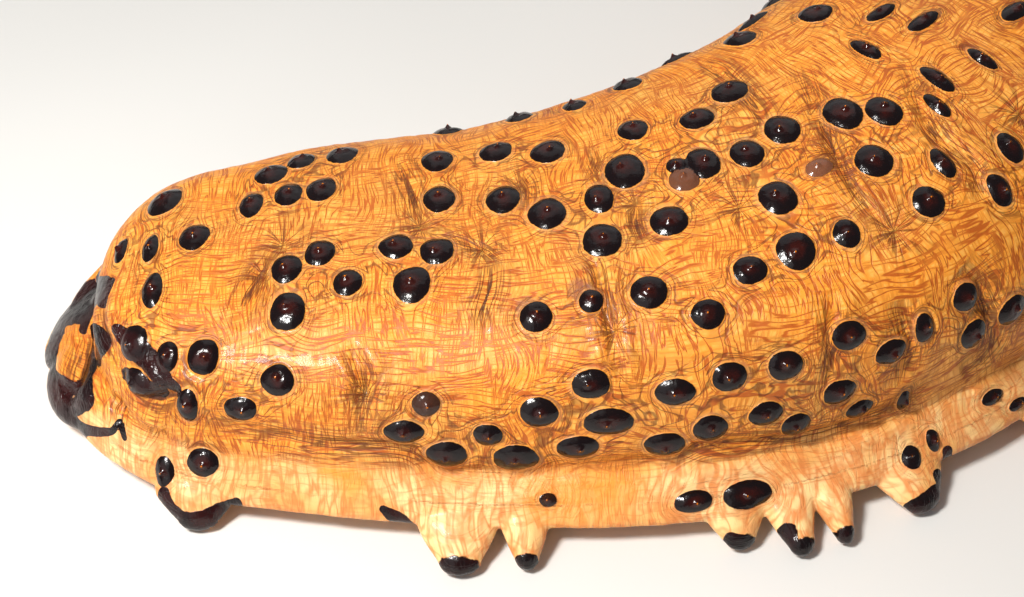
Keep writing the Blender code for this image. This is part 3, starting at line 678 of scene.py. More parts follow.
@dataclass
class WartBed:
    """All warts: those the picture shows, and seeded ones on the skin that it doesn't."""

    torso: Torso
    eye: Eye
    radius: float = 2.9 * MM
    height: float = 0.8 * MM
    stretch: tuple[float, float] = (0.58, 1.3)
    unseen_spacing: float = 13 * MM
    filling_spacing: float = 9.6 * MM
    unseen_tries: int = 2600
    seed: int = 11
    head_spots: tuple[Spot, ...] = (
        (288, 194, 29, 25), (321, 189, 31, 26), (271, 173, 33, 21), (251, 204, 24, 32),
        (194, 237, 31, 27), (150, 248, 18, 30), (153, 291, 22, 35), (320, 254, 31, 28),
        (287, 270, 31, 29), (288, 312, 37, 37), (204, 357, 33, 36), (278, 380, 34, 31),
        (241, 408, 34, 25), (189, 404, 22, 30), (168, 357, 24, 32), (134, 343, 32, 36),
        (138, 381, 28, 28), (164, 201, 36, 30), (120, 250, 15, 29), (301, 160, 28, 16),
        (342, 154, 32, 19),
    )
    middle_spots: tuple[Spot, ...] = (
        (437, 161, 32, 24), (496, 153, 34, 21), (548, 153, 35, 26), (439, 199, 32, 29),
        (503, 200, 34, 29), (547, 214, 38, 32), (599, 199, 30, 29), (625, 172, 40, 35),
        (633, 131, 30, 25), (602, 240, 40, 35), (396, 247, 35, 26), (437, 252, 35, 28),
        (348, 284, 29, 27), (412, 285, 38, 36), (536, 317, 33, 31), (591, 301, 25, 24),
        (649, 292, 38, 34), (426, 404, 28, 26), (591, 384, 39, 30), (448, 128, 30, 18),
        (519, 118, 28, 20), (574, 105, 24, 16),
    )
    right_spots: tuple[Spot, ...] = (
        (697, 119, 34, 24), (729, 90, 37, 26), (684, 179, 31, 24), (677, 166, 22, 17), (703, 163, 34, 32),
        (819, 167, 28, 20),
        (747, 153, 34, 29), (782, 129, 36, 31), (843, 113, 39, 34), (884, 111, 36, 32),
        (866, 49, 30, 25), (881, 12, 31, 24), (923, 22, 34, 31), (937, 80, 34, 32),
        (937, 106, 26, 28), (982, 60, 26, 28), (1015, 12, 30, 35), (874, 160, 39, 34),
        (778, 197, 38, 35), (669, 220, 38, 31), (943, 163, 26, 31), (1010, 148, 28, 32),
        (1000, 190, 28, 33), (929, 201, 34, 33), (796, 250, 40, 38), (847, 233, 29, 30),
        (750, 270, 35, 30), (965, 297, 28, 30), (627, 75, 30, 18), (677, 54, 28, 20),
        (739, 37, 32, 18), (752, 20, 32, 22),
    )
    flank_spots: tuple[Spot, ...] = (
        (404, 431, 40, 24), (447, 454, 41, 27), (488, 435, 30, 23), (516, 458, 47, 28),
        (539, 413, 39, 29), (609, 423, 51, 29), (578, 448, 43, 24), (665, 445, 42, 25),
        (675, 392, 40, 29), (729, 376, 36, 30), (710, 427, 36, 26), (765, 412, 36, 23),
        (795, 423, 30, 25), (785, 365, 36, 31), (708, 314, 34, 30), (848, 335, 36, 30),
        (924, 328, 20, 29), (890, 351, 33, 26), (972, 333, 27, 31), (1010, 309, 33, 31),
        (839, 391, 36, 24), (859, 408, 29, 20), (903, 400, 14, 21),
    )
    skirt_spots: tuple[Spot, ...] = (
        (204, 461, 32, 31), (167, 470, 20, 31), (484, 537, 37, 28), (693, 501, 39, 20),
        (747, 494, 50, 22), (818, 503, 22, 23), (883, 484, 22, 20), (909, 457, 21, 24),
        (931, 440, 15, 23), (991, 397, 25, 16), (1016, 404, 20, 14), (548, 500, 18, 14),
    )
    faded_spots: Trail = ((684, 179, 0.4), (426, 404, 0.7), (819, 167, 0.2), (548, 500, 0.8))

    @cached_property
    def tree(self) -> BVHTree:
        """Search tree of the plain skin."""
        return self.torso.plain_tree()

    def radii(self, place: Vector, normal: Vector, wide: float, tall: float) -> list[float]:
        """Radii along and around the body of a wart that looks so wide and so tall.

        Args:
            place: middle of the wart.
            normal: outward normal there.
            wide: its width in the picture.
            tall: its height in the picture.

        Returns:
            The two radii, in metres.
        """
        _, right, up, _ = self.eye.axes
        along, around = self.torso.midline.axes(place, normal)
        scale = self.eye.focal / self.eye.in_picture(place)[2]
        seen = np.array([
            [along.dot(right) ** 2, around.dot(right) ** 2],
            [along.dot(up) ** 2, around.dot(up) ** 2],
        ]) * scale ** 2
        squares = np.linalg.lstsq(seen, np.array([wide, tall]) ** 2 / 4, rcond=None)[0]
        common = max(wide, tall) / 2 / scale
        least, most = self.stretch
        return [min(max(math.sqrt(max(s, 0)), common * least), common * most) for s in squares]

    def wart(self, place: Vector, normal: Vector, radii: Sequence[float], tone: float) -> Wart:
        """Wart of two radii at a place of the skin.

        Args:
            place: middle of the wart.
            normal: outward normal there.
            radii: its radii along and around the body.
            tone: share of the full dark colour.

        Returns:
            The wart.
        """
        along, around = self.torso.midline.axes(place, normal)
        rise = self.height * (0.75 + 0.25 * min(radii) / self.radius)
        return Wart(place, normal, along, around, radii[0], radii[1], rise, tone)

    def seen(self) -> list[Wart]:
        """Warts that the picture shows.

        Returns:
            The warts, in the order of their spots.
        """
        spots = self.head_spots + self.middle_spots + self.right_spots
        spots += self.flank_spots + self.skirt_spots
        found = []
        for column, row, wide, tall in spots:
            place, normal = self.eye.sight_below(self.tree, column, row)
            if place is not None:
                tones = [share for x, y, share in self.faded_spots if (x, y) == (column, row)]
                tone = tones[0] if tones else 1.0
                found.append(self.wart(place, normal, self.radii(place, normal, wide, tall), tone))
        return found

    def scatter(self, present: list[Wart], seed: int, spacing: float, low: float) -> list[Wart]:
        """Seeded warts, evenly spread over the skin that the picture doesn't show.

        Args:
            present: warts that are there already.
            seed: seed of the draws.
            spacing: least distance between two warts.
            low: least height above the floor.

        Returns:
            The new warts.
        """
        draw = random.Random(seed)
        midline = self.torso.midline
        places = [wart.place for wart in present]
        found = []
        for _ in range(self.unseen_tries):
            s = draw.uniform(self.torso.dome_start, self.torso.dome_end)
            turn = draw.uniform(math.radians(8), math.radians(172))
            size = draw.uniform(0.8, 1.12)
            core = self.torso.core_height
            middle = Vector(midline.beside(s, 0, core))
            far = Vector(midline.beside(s, math.cos(turn), core + math.sin(turn)))
            outward = (far - middle).normalized()
            outside = middle + outward * self.torso.clear_distance
            place, normal, _, _ = self.tree.ray_cast(outside, -outward)
            if place is None or place.z < low:
                continue
            if min((place - other).length for other in places) < spacing:
                continue
            if normal.dot(outward) < 0:
                normal = -normal
            if self.eye.sees(self.tree, place + normal * 2.7 * MM):
                continue
            places.append(place)
            found.append(self.wart(place, normal, [self.radius * size] * 2, 1.0))
        return found

    @cached_property
    def warts(self) -> list[Wart]:
        """Every wart of the animal.

        Returns:
            The warts, the seen ones first.
        """
        found = self.seen()
        found += self.scatter(found, self.seed, self.unseen_spacing, 7 * MM)
        return found + self.scatter(found, self.seed + 5, self.filling_spacing, 7 * MM)


@dataclass(frozen=True)
class Papilla:
    """One marginal papilla: where it stands out, how far, and half its width."""

    s: float
    side: Side
    reach: float
    half: float


@dataclass
class Margin:
    """Scalloped margin of the skirt, a row of papillae down each side."""

    torso: Torso
    near: tuple[tuple[float, float, float], ...] = (
        (24.5 * MM, 3.8 * MM, 6.5 * MM), (63.5 * MM, 7 * MM, 7 * MM),
        (72.5 * MM, 5.5 * MM, 4 * MM), (97.3 * MM, 3.8 * MM, 5 * MM),
        (103.2 * MM, 7.1 * MM, 4.5 * MM), (108 * MM, 6.8 * MM, 3.5 * MM),
        (117.6 * MM, 5.8 * MM, 6.5 * MM),
    )
    spacing: tuple[float, float] = (15 * MM, 23 * MM)
    reach: tuple[float, float] = (5 * MM, 9 * MM)
    half_width: tuple[float, float] = (5 * MM, 8 * MM)
    tip_height: float = 1.9 * MM
    root_height: float = 5.6 * MM
    seed: int = 12

    @cached_property
    def papillae(self) -> list[Papilla]:
        """All marginal papillae.

        Returns:
            The papillae.
        """
        rows = [Papilla(s, Side.RIGHT, reach, half) for s, reach, half in self.near]
        draw = random.Random(self.seed)
        for side, start in ((Side.RIGHT, self.near[-1][0] + 19 * MM), (Side.LEFT, 26 * MM)):
            s = start
            while s < self.torso.midline.length - 12 * MM:
                reach = draw.uniform(*self.reach)
                rows.append(Papilla(s, side, reach, draw.uniform(*self.half_width)))
                s += draw.uniform(*self.spacing)
        return rows

    def shell(self, papilla: Papilla) -> Shell:
        """Flattened cone that stands out from the margin, its root sunk in the skirt.

        Args:
            papilla: the papilla.

        Returns:
            Its closed shell.
        """
        wide = float(self.torso.margin(papilla.s))
        heading = float(self.torso.midline.heading(papilla.s))
        along = np.array([math.cos(heading), math.sin(heading), 0])
        reach = papilla.reach
        steps = (
            (-0.13 * wide, 1.0, 2.6 * MM, self.root_height),
            (0.1 * reach, 0.82, 2.3 * MM, self.root_height - 1.4 * MM),
            (0.65 * reach, 0.5, 1.8 * MM, self.tip_height + 0.7 * MM),
            (0.93 * reach, 0.27, 1.15 * MM, self.tip_height + 0.1 * MM),
            (reach, 0.06, 0.3 * MM, self.tip_height),
        )
        at = [step[0] for step in steps]
        turn = np.linspace(0, TURN, 24, endpoint=False)
        rings = []
        for out in np.linspace(at[0], at[-1], 22):
            share, thick, level = (
                float(curve_through(tuple(zip(at, [step[k] for step in steps])), out))
                for k in (1, 2, 3))
            across = papilla.side.value * (wide + out)
            ring = self.torso.midline.beside(papilla.s, across, level + thick * np.sin(turn))
            rings.append(ring + along * (papilla.half * share * np.cos(turn))[:, None])
        return loft(rings)

    def shells(self) -> list[Shell]:
        """Shells of all marginal papillae."""
        return [self.shell(papilla) for papilla in self.papillae]


@dataclass
class Collar:
    """Lobes that lean out round the mouth and down to the floor."""

    torso: Torso
    middle: float = 21 * MM
    lobes: tuple[tuple[float, float, float, float], ...] = (
        (116, 24 * MM, 8 * MM, 9 * MM), (142, 24.5 * MM, 9 * MM, 11 * MM),
        (173, 25 * MM, 9.5 * MM, 12.5 * MM), (212, 24.5 * MM, 8.5 * MM, 12 * MM),
        (243, 20.5 * MM, 6 * MM, 9 * MM),
    )
    thickness: float = 3.2 * MM
    low: float = 0.6 * MM

    def shell(self, degrees: float, reach: float, half: float, crest: float) -> Shell:
        """Flattened egg of one lobe.

        Args:
            degrees: its direction from the head's middle, from +X.
            reach: how far its tip lies from there.
            half: half its width.
            crest: height of its root.

        Returns:
            The closed shell of the lobe.
        """
        middle = Vector(self.torso.midline.beside(self.middle, 0, 0))
        turn = math.radians(degrees)
        out = Vector((math.cos(turn), math.sin(turn), 0))
        tip = middle + out * (reach - half * 0.2) + Vector((0, 0, self.low + self.thickness))
        root = middle + out * (reach - half * 1.35) + Vector((0, 0, crest))
        slope = (tip - root).normalized()
        side = Vector((0, 0, 1)).cross(out).normalized()
        lean = side.cross(slope).normalized()
        length = (tip - root).length / 2 + self.thickness * 0.4
        centre = np.array((root + tip) / 2)
        rings = []
        for polar in np.linspace(0.04, math.pi - 0.04, 28):
            spin = np.linspace(0, TURN, 40, endpoint=False)[:, None]
            ring = centre + np.array(slope) * length * math.cos(polar)
            ring = ring + np.array(side) * half * math.sin(polar) * np.cos(spin)
            rings.append(ring + np.array(lean) * self.thickness * math.sin(polar) * np.sin(spin))
        return loft(rings)

    def shells(self) -> list[Shell]:
        """Shells of all lobes."""
        return [self.shell(*lobe) for lobe in self.lobes]


@dataclass
class Vent:
    """Puckered rim round the vent, at the rear end of the dome."""

    torso: Torso
    cut: float = 2.2 * MM
    radius: float = 7 * MM
    hole_radius: float = 1.9 * MM
    depth: float = 3.4 * MM
    folds: int = 13

    @cached_property
    def axes(self) -> tuple[Vector, Vector, Vector, Vector]:
        """Centre of the vent's flat, and the directions back, left and up.

        Returns:
            The centre and the three directions.
        """
        s = self.torso.dome_end - self.cut
        heading = float(self.torso.midline.heading(s))
        back = Vector((math.cos(heading), math.sin(heading), 0))
        left = Vector((-math.sin(heading), math.cos(heading), 0))
        centre = Vector(self.torso.midline.beside(s, 0, self.torso.nose_height))
        return centre, back, left, Vector((0, 0, 1))

    def shells(self) -> list[Shell]:
        """Closed shell of the rim, a low ring round a blind hole.

        Returns:
            The one shell, in a list.
        """
        centre, back, left, up = (np.array(axis) for axis in self.axes)
        hole = self.hole_radius / self.radius
        steps = (
            (0.98, -4 * MM), (1.0, 0.2 * MM), (0.96, 1.2 * MM), (0.86, 2.2 * MM), (0.72, 2.95 * MM),
            (0.5, self.depth), (0.38, 3.3 * MM), (hole, 3.0 * MM), (hole * 0.8, 2.0 * MM),
            (hole * 0.6, 0.7 * MM),
        )
        spin = np.linspace(0, TURN, 104, endpoint=False)[:, None]
        rings = []
        for share, away in steps:
            fold = 0.1 if 0.25 < share < 0.9 else 0.03
            wide = self.radius * share * (1 + fold * np.cos(self.folds * spin) * 0.5)
            rings.append(centre + back * away + (left * np.cos(spin) + up * np.sin(spin)) * wide)
        return [loft(rings)]


class Nodes:
    """Short ways to add and link the nodes of one material."""

    def __init__(self, name: str) -> None:
        """Start a material with a Principled shader.

        Args:
            name: name of the material.
        """
        self.material = bpy.data.materials.new(name)
        self.material.use_nodes = True
        self.tree = self.material.node_tree
        self.shader = self.tree.nodes["Principled BSDF"]

    def add(self, kind: str, **settings: Any) -> bpy.types.Node:
        """Add a node of a kind, with its settings.

        Args:
            kind: type name of the node.
            settings: its properties by name.

        Returns:
            The node.
        """
        node = self.tree.nodes.new(kind)
        for name, value in settings.items():
            setattr(node, name, value)
        return node

    def feed(self, target: Socket, source: Any) -> None:
        """Link a socket to a target, or set the target to a plain value.

        Args:
            target: the input.
            source: a socket, a plain value, or None for neither.
        """
        if isinstance(source, bpy.types.NodeSocket):
            self.tree.links.new(source, target)
        elif source is not None:
            target.default_value = source

    def attribute(self, name: str, output: str = "Fac") -> Socket:
        """Output of a named attribute of the mesh."""
        return self.add("ShaderNodeAttribute", attribute_name=name).outputs[output]

    def math(self, operation: str, first: Any, second: Any = None, third: Any = None) -> Socket:
        """Math node of an operation on up to three values.

        Args:
            operation: name of the operation.
            first: first value.
            second: second value.
            third: third value.

        Returns:
            The result.
        """
        node = self.add("ShaderNodeMath", operation=operation)
        for target, source in zip(node.inputs, (first, second, third)):
            self.feed(target, source)
        return node.outputs[0]

    def step(self, value: Any, low: float, high: float, start: float = 0.0, end: float = 1.0) -> Socket:
        """Ease from start to end as the value goes from low to high.

        Args:
            value: the value.
            low: where the ease starts.
            high: where it ends.
            start: result at low.
            end: result at high.

        Returns:
            The eased value.
        """
        node = self.add("ShaderNodeMapRange", interpolation_type="SMOOTHSTEP")
        for target, source in zip(node.inputs, (value, low, high, start, end)):
            self.feed(target, source)
        return node.outputs[0]

    def place(self) -> Socket:
        """Place on the object, in metres."""
        return self.add("ShaderNodeTexCoord").outputs["Object"]

    def noise(self, scale: float, detail: float = 2.0, roughness: float = 0.5,
              vector: Any = None, distortion: float = 0.0) -> Socket:
        """Noise from 0 to 1, of so many cells to the metre.

        Args:
            scale: cells to the metre.
            detail: octaves beyond the first.
            roughness: share of each further octave.
            vector: where it is read, or None for the place on the object.
            distortion: how far the cells are bent.

        Returns:
            The noise.
        """
        node = self.add("ShaderNodeTexNoise")
        self.feed(node.inputs["Vector"], vector if vector is not None else self.place())
        node.inputs["Scale"].default_value = scale
        node.inputs["Detail"].default_value = detail
        node.inputs["Roughness"].default_value = roughness
        node.inputs["Distortion"].default_value = distortion
        return node.outputs["Fac"]

    def mix(self, share: Any, first: Any, second: Any) -> Socket:
        """Mix two colours by a share.

        Args:
            share: share of the second colour.
            first: first colour.
            second: second colour.

        Returns:
            The mixed colour.
        """
        node = self.add("ShaderNodeMix", data_type="RGBA")
        for name, source in (("Factor_Float", share), ("A_Color", first), ("B_Color", second)):
            target = next(each for each in node.inputs if each.identifier == name)
            self.feed(target, (*source, 1.0) if isinstance(source, tuple) else source)
        return next(each for each in node.outputs if each.identifier == "Result_Color")

    def bump(self, height: Any, distance: float) -> Socket:
        """Normal bent by a height.

        Args:
            height: the height.
            distance: what a height of 1 stands for, in metres.

        Returns:
            The normal.
        """
        node = self.add("ShaderNodeBump")
        node.inputs["Distance"].default_value = distance
        self.feed(node.inputs["Height"], height)
        return node.outputs[0]

    def set(self, **values: Any) -> None:
        """Feed sockets of the shader, named with underscores for spaces."""
        for name, value in values.items():
            self.feed(self.shader.inputs[name.replace("_", " ")], value)


def srgb(red: int, green: int, blue: int) -> Colour:
    """Linear colour for a colour as a screen shows it.

    Args:
        red: red, of 255.
        green: green, of 255.
        blue: blue, of 255.

    Returns:
        The linear colour.
    """
    shares = [value / 255 for value in (red, green, blue)]
    linear = [s / 12.92 if s <= 0.04045 else ((s + 0.055) / 1.055) ** 2.4 for s in shares]
    return (linear[0], linear[1], linear[2])


@dataclass(frozen=True)
class SkinFinish:
    """Wet orange skin netted with brown wrinkle lines, glossy dark warts and a paler skirt, with painted
    highlight on the wrinkle ridges and painted shade in the creases.
    """

    orange: Colour = srgb(240, 150, 46)
    tan: Colour = srgb(226, 152, 62)
    # Painted highlight: paler colour laid on the wrinkle ridges.
    painted_ridge_highlight: Colour = srgb(255, 192, 96)
    peach: Colour = srgb(255, 212, 146)
    blush: Colour = srgb(246, 152, 50)
    rust: Colour = srgb(172, 74, 18)
    vein: Colour = srgb(226, 132, 66)
    line: Colour = srgb(84, 34, 12)
    # Painted shade: the dark colour laid in the creases.
    deep: Colour = srgb(64, 28, 14)
    halo: Colour = srgb(216, 156, 100)
    wart: Colour = srgb(18, 8, 9)
    wart_core: Colour = srgb(56, 14, 8)
    cap: Colour = srgb(48, 15, 14)
    wart_pale: Colour = srgb(126, 78, 54)
    tip: Colour = srgb(214, 118, 24)
    sole: Colour = srgb(226, 176, 128)
    pitch: float = 0.66 * MM
    roughness: float = 0.48
    wart_roughness: float = 0.17

    def streaks(self, nodes: Nodes, phase: Socket, pitch: float, length: float) -> Socket:
        """Broken, branching ridges that run where a phase stays the same.

        Args:
            nodes: the material's nodes.
            phase: distance across the ridges, in metres.
            pitch: mean distance between two ridges.
            length: how far a ridge runs before it breaks or forks.

        Returns:
            0 in the furrows, rising to about 0.3 on the ridges between them.
        """
        place = nodes.add("ShaderNodeSeparateXYZ")
        nodes.feed(place.inputs[0], nodes.place())
        drawn = nodes.add("ShaderNodeCombineXYZ")
        nodes.feed(drawn.inputs[0], nodes.math("MULTIPLY", phase, 1 / pitch))
        nodes.feed(drawn.inputs[1], nodes.math("MULTIPLY", place.outputs[0], 1 / length))
        depth = nodes.math("ADD", place.outputs[1], place.outputs[2])
        nodes.feed(drawn.inputs[2], nodes.math("MULTIPLY", depth, 1 / length))
        value = nodes.noise(1.0, 1.5, 0.5, drawn.outputs[0], 0.25)
        return nodes.math("ABSOLUTE", nodes.math("SUBTRACT", value, 0.5))

    def spokes(self, nodes: Nodes) -> Socket:
        """Furrows that run out of the star-shaped creases.

        Args:
            nodes: the material's nodes.

        Returns:
            The share of dark furrow.
        """
        star = nodes.add("ShaderNodeSeparateXYZ")
        nodes.feed(star.inputs[0], nodes.attribute("star", "Vector"))
        turn = nodes.math("ARCTAN2", star.outputs[1], star.outputs[0])
        drawn = nodes.add("ShaderNodeCombineXYZ")
        nodes.feed(drawn.inputs[0], nodes.math("MULTIPLY", nodes.math("COSINE", turn), 3.2))
        nodes.feed(drawn.inputs[1], nodes.math("MULTIPLY", nodes.math("SINE", turn), 3.2))
        along, around = (nodes.math("ABSOLUTE", output) for output in star.outputs[:2])
        far = nodes.math("ADD", along, around)
        nodes.feed(drawn.inputs[2], nodes.math("MULTIPLY", far, 0.08))
        value = nodes.noise(1.0, 1, 0.5, drawn.outputs[0])
        off = nodes.math("ABSOLUTE", nodes.math("SUBTRACT", value, 0.5))
        return nodes.math("MULTIPLY", nodes.step(off, 0.015, 0.07, 1.0, 0.0), star.outputs[2])

    def wrinkle_lines(self, nodes: Nodes, clear: Socket) -> tuple[Socket, Socket, Socket]:
        """Wrinkle lines of the whole skin.

        Args:
            nodes: the material's nodes.
            clear: 1 away from warts and 0 on them.

        Returns:
            Shares of the dark lines, the rusty lines and the painted highlight on the ridges between them.
        """
        near_wart = nodes.step(nodes.attribute("ring"), 0.4 * MM, 2.6 * MM, 0.8, 0.0)
        ring = self.streaks(nodes, nodes.attribute("ring"), self.pitch, 5 * MM)
        ring = nodes.math("MULTIPLY", nodes.step(ring, 0.01, 0.055, 1.0, 0.0), near_wart)
        furrow = self.streaks(nodes, nodes.attribute("furrow"), self.pitch, 9 * MM)
        furrow = nodes.step(furrow, 0.02, 0.085, 1.0, 0.0)
        furrow = nodes.math("MULTIPLY", furrow, nodes.attribute("furrow_share"))
        dark = nodes.math("MAXIMUM", nodes.math("MAXIMUM", ring, furrow), self.spokes(nodes))
        cross = self.streaks(nodes, nodes.attribute("cross"), self.pitch, 7 * MM)
        length = self.streaks(nodes, nodes.attribute("around"), self.pitch * 1.2, 8 * MM)
        patch = nodes.noise(95, 2, 0.5)
        across = nodes.step(patch, 0.36, 0.56, 0.25, 1.0)
        across = nodes.math("MULTIPLY", nodes.step(cross, 0.014, 0.058, 1.0, 0.0), across)
        lengthwise = nodes.step(patch, 0.44, 0.62, 1.0, 0.25)
        lengthwise = nodes.math("MULTIPLY", nodes.step(length, 0.014, 0.056, 1.0, 0.0), lengthwise)
        rusty = nodes.math("MAXIMUM", across, lengthwise)
        # Painted highlight: the ridges away from both kinds of rusty line get a lighter colour.
        ridge = nodes.math("MULTIPLY", nodes.step(cross, 0.05, 0.16), nodes.step(length, 0.05, 0.16))
        return (nodes.math("MULTIPLY", dark, clear), nodes.math("MULTIPLY", rusty, clear),
                nodes.math("MULTIPLY", ridge, clear))

    def flange(self, nodes: Nodes) -> Socket:
        """Colour of the skirt: peach folds with rusty veins between them.

        Args:
            nodes: the material's nodes.

        Returns:
            The colour.
        """
        base = nodes.mix(nodes.step(nodes.noise(90, 2, 0.5), 0.4, 0.65, 0.0, 0.6), self.peach, self.orange)
        veins = self.streaks(nodes, nodes.attribute("cross"), 1.2 * MM, 8 * MM)
        base = nodes.mix(nodes.step(veins, 0.0, 0.11, 0.75, 0.0), base, self.vein)
        net = self.streaks(nodes, nodes.attribute("around"), 1.9 * MM, 6 * MM)
        return nodes.mix(nodes.step(net, 0.0, 0.07, 0.5, 0.0), base, self.vein)

    def ground(self, nodes: Nodes, lines: tuple[Socket, Socket, Socket]) -> Socket:
        """Colour of the skin between its warts.

        Args:
            nodes: the material's nodes.
            lines: shares of the dark lines, the rusty lines and the painted highlight on the ridges.

        Returns:
            The colour.
        """
        dark, rusty, ridge = lines
        skirt = nodes.attribute("skirt")
        base = nodes.mix(nodes.step(nodes.noise(55, 3, 0.55), 0.38, 0.68), self.orange, self.tan)
        # Painted highlight: lightens the ridges between the wrinkle lines.
        base = nodes.mix(nodes.math("MULTIPLY", ridge, 0.55), base, self.painted_ridge_highlight)
        base = nodes.mix(skirt, base, self.flange(nodes))
        blush = nodes.step(nodes.attribute("blush"), 0.0, 1.0, 0.0, 0.75)
        base = nodes.mix(blush, base, self.blush)
        weak = nodes.step(skirt, 0.0, 1.0, 1.0, 0.15)
        base = nodes.mix(nodes.math("MULTIPLY", nodes.math("MULTIPLY", rusty, 0.85), weak), base, self.rust)
        base = nodes.mix(nodes.math("MULTIPLY", nodes.math("MULTIPLY", dark, 0.85), weak), base, self.line)
        # Painted shade: the creases are darkened towards deep brown.
        base = nodes.mix(nodes.step(nodes.attribute("crease"), 0.25, 0.95, 0.0, 0.8), base, self.deep)
        base = nodes.mix(nodes.step(nodes.attribute("bruise"), 0.3, 0.6, 0.0, 0.6), base, self.wart_pale)
        return nodes.mix(nodes.attribute("under"), base, self.sole)

    def material(self) -> bpy.types.Material:
        """The skin's material.

        Returns:
            The material.
        """
        nodes = Nodes("wet_skin")
        wart = nodes.attribute("wart")
        lines = self.wrinkle_lines(nodes, nodes.step(wart, 0.99, 1.08))
        base = self.ground(nodes, lines)
        grain = nodes.noise(1100, 2, 0.5)
        ragged = nodes.math("MULTIPLY_ADD", grain, 0.1, nodes.math("SUBTRACT", wart, 0.05))
        begins = nodes.step(ragged, 0.97, 1.03)
        halo = nodes.math("MULTIPLY", begins, nodes.step(ragged, 1.05, 1.35, 1.0, 0.0))
        halo = nodes.math("MULTIPLY", halo, nodes.step(nodes.noise(160, 1, 0.5), 0.35, 0.7, 0.05, 0.4))
        base = nodes.mix(halo, base, self.halo)
        inside = nodes.step(ragged, 0.97, 1.02, 1.0, 0.0)
        core = nodes.step(nodes.math("ADD", ragged, nodes.noise(420, 2, 0.5)), 0.5, 1.15, 0.8, 0.0)
        deep = nodes.mix(core, self.wart, self.wart_core)
        deep = nodes.mix(nodes.step(nodes.attribute("tone"), 0.1, 0.95, 0.9, 0.0), deep, self.wart_pale)
        base = nodes.mix(inside, base, deep)
        # Dark strokes and papilla tips get the warts' dark colour; one stroke is painted shade in a fold
        # corner.
        frayed = nodes.math("MULTIPLY_ADD", nodes.noise(700, 2, 0.5), 0.2, nodes.attribute("mark"))
        mark = nodes.step(frayed, 0.57, 0.63)
        cap = nodes.math("MULTIPLY_ADD", nodes.noise(900, 2, 0.5), 0.3, nodes.attribute("tip"))
        mark = nodes.math("MAXIMUM", mark, nodes.step(cap, 0.72, 0.8))
        hue = nodes.mix(nodes.step(nodes.noise(150, 2, 0.5), 0.4, 0.65), self.wart, self.cap)
        base = nodes.mix(mark, base, hue)
        base = nodes.mix(nodes.step(nodes.attribute("dot"), 0.6, 0.85), base, self.tip)
        wet = nodes.math("MAXIMUM", inside, mark)
        relief = nodes.math("MULTIPLY_ADD", lines[0], -0.6, nodes.math("MULTIPLY", lines[1], -0.35))
        relief = nodes.math("MULTIPLY_ADD", nodes.noise(1400, 3, 0.6), 0.3, relief)
        lumps = nodes.math("MULTIPLY", nodes.noise(800, 3, 0.6), wet)
        relief = nodes.math("MULTIPLY_ADD", lumps, 0.8, relief)
        nodes.set(Base_Color=base, Normal=nodes.bump(relief, 0.13 * MM))
        nodes.set(Roughness=nodes.step(wet, 0.0, 1.0, self.roughness, self.wart_roughness))
        nodes.set(IOR=1.38, Coat_Weight=0.06, Coat_Roughness=0.1)
        nodes.set(Subsurface_Weight=0.1, Subsurface_Radius=(1.0, 0.35, 0.15), Subsurface_Scale=2 * MM)
        return nodes.material


@dataclass(frozen=True)
class FleshFinish:
    """Wet flesh of one hue, mottled and finely bumpy."""

    name: str
    light: Colour
    dark: Colour
    roughness: float = 0.34

    def material(self) -> bpy.types.Material:
        """The flesh's material.

        Returns:
            The material.
        """
        nodes = Nodes(self.name)
        mottle = nodes.step(nodes.noise(380, 3, 0.6), 0.35, 0.65)
        nodes.set(Base_Color=nodes.mix(mottle, self.light, self.dark), Roughness=self.roughness)
        nodes.set(Normal=nodes.bump(nodes.noise(1800, 3, 0.6), 0.1 * MM), Coat_Weight=0.3)
        nodes.set(Coat_Roughness=0.15, IOR=1.38)
        return nodes.material


@dataclass(frozen=True)
class Fold:
    """A crease in the skin: its course in the picture, how deep and wide it is, and how dark the painted
    shade in it is.
    """

    spots: tuple[tuple[float, float], ...]
    depth: float = 0.32 * MM
    width: float = 0.7 * MM
    shade: float = 0.85


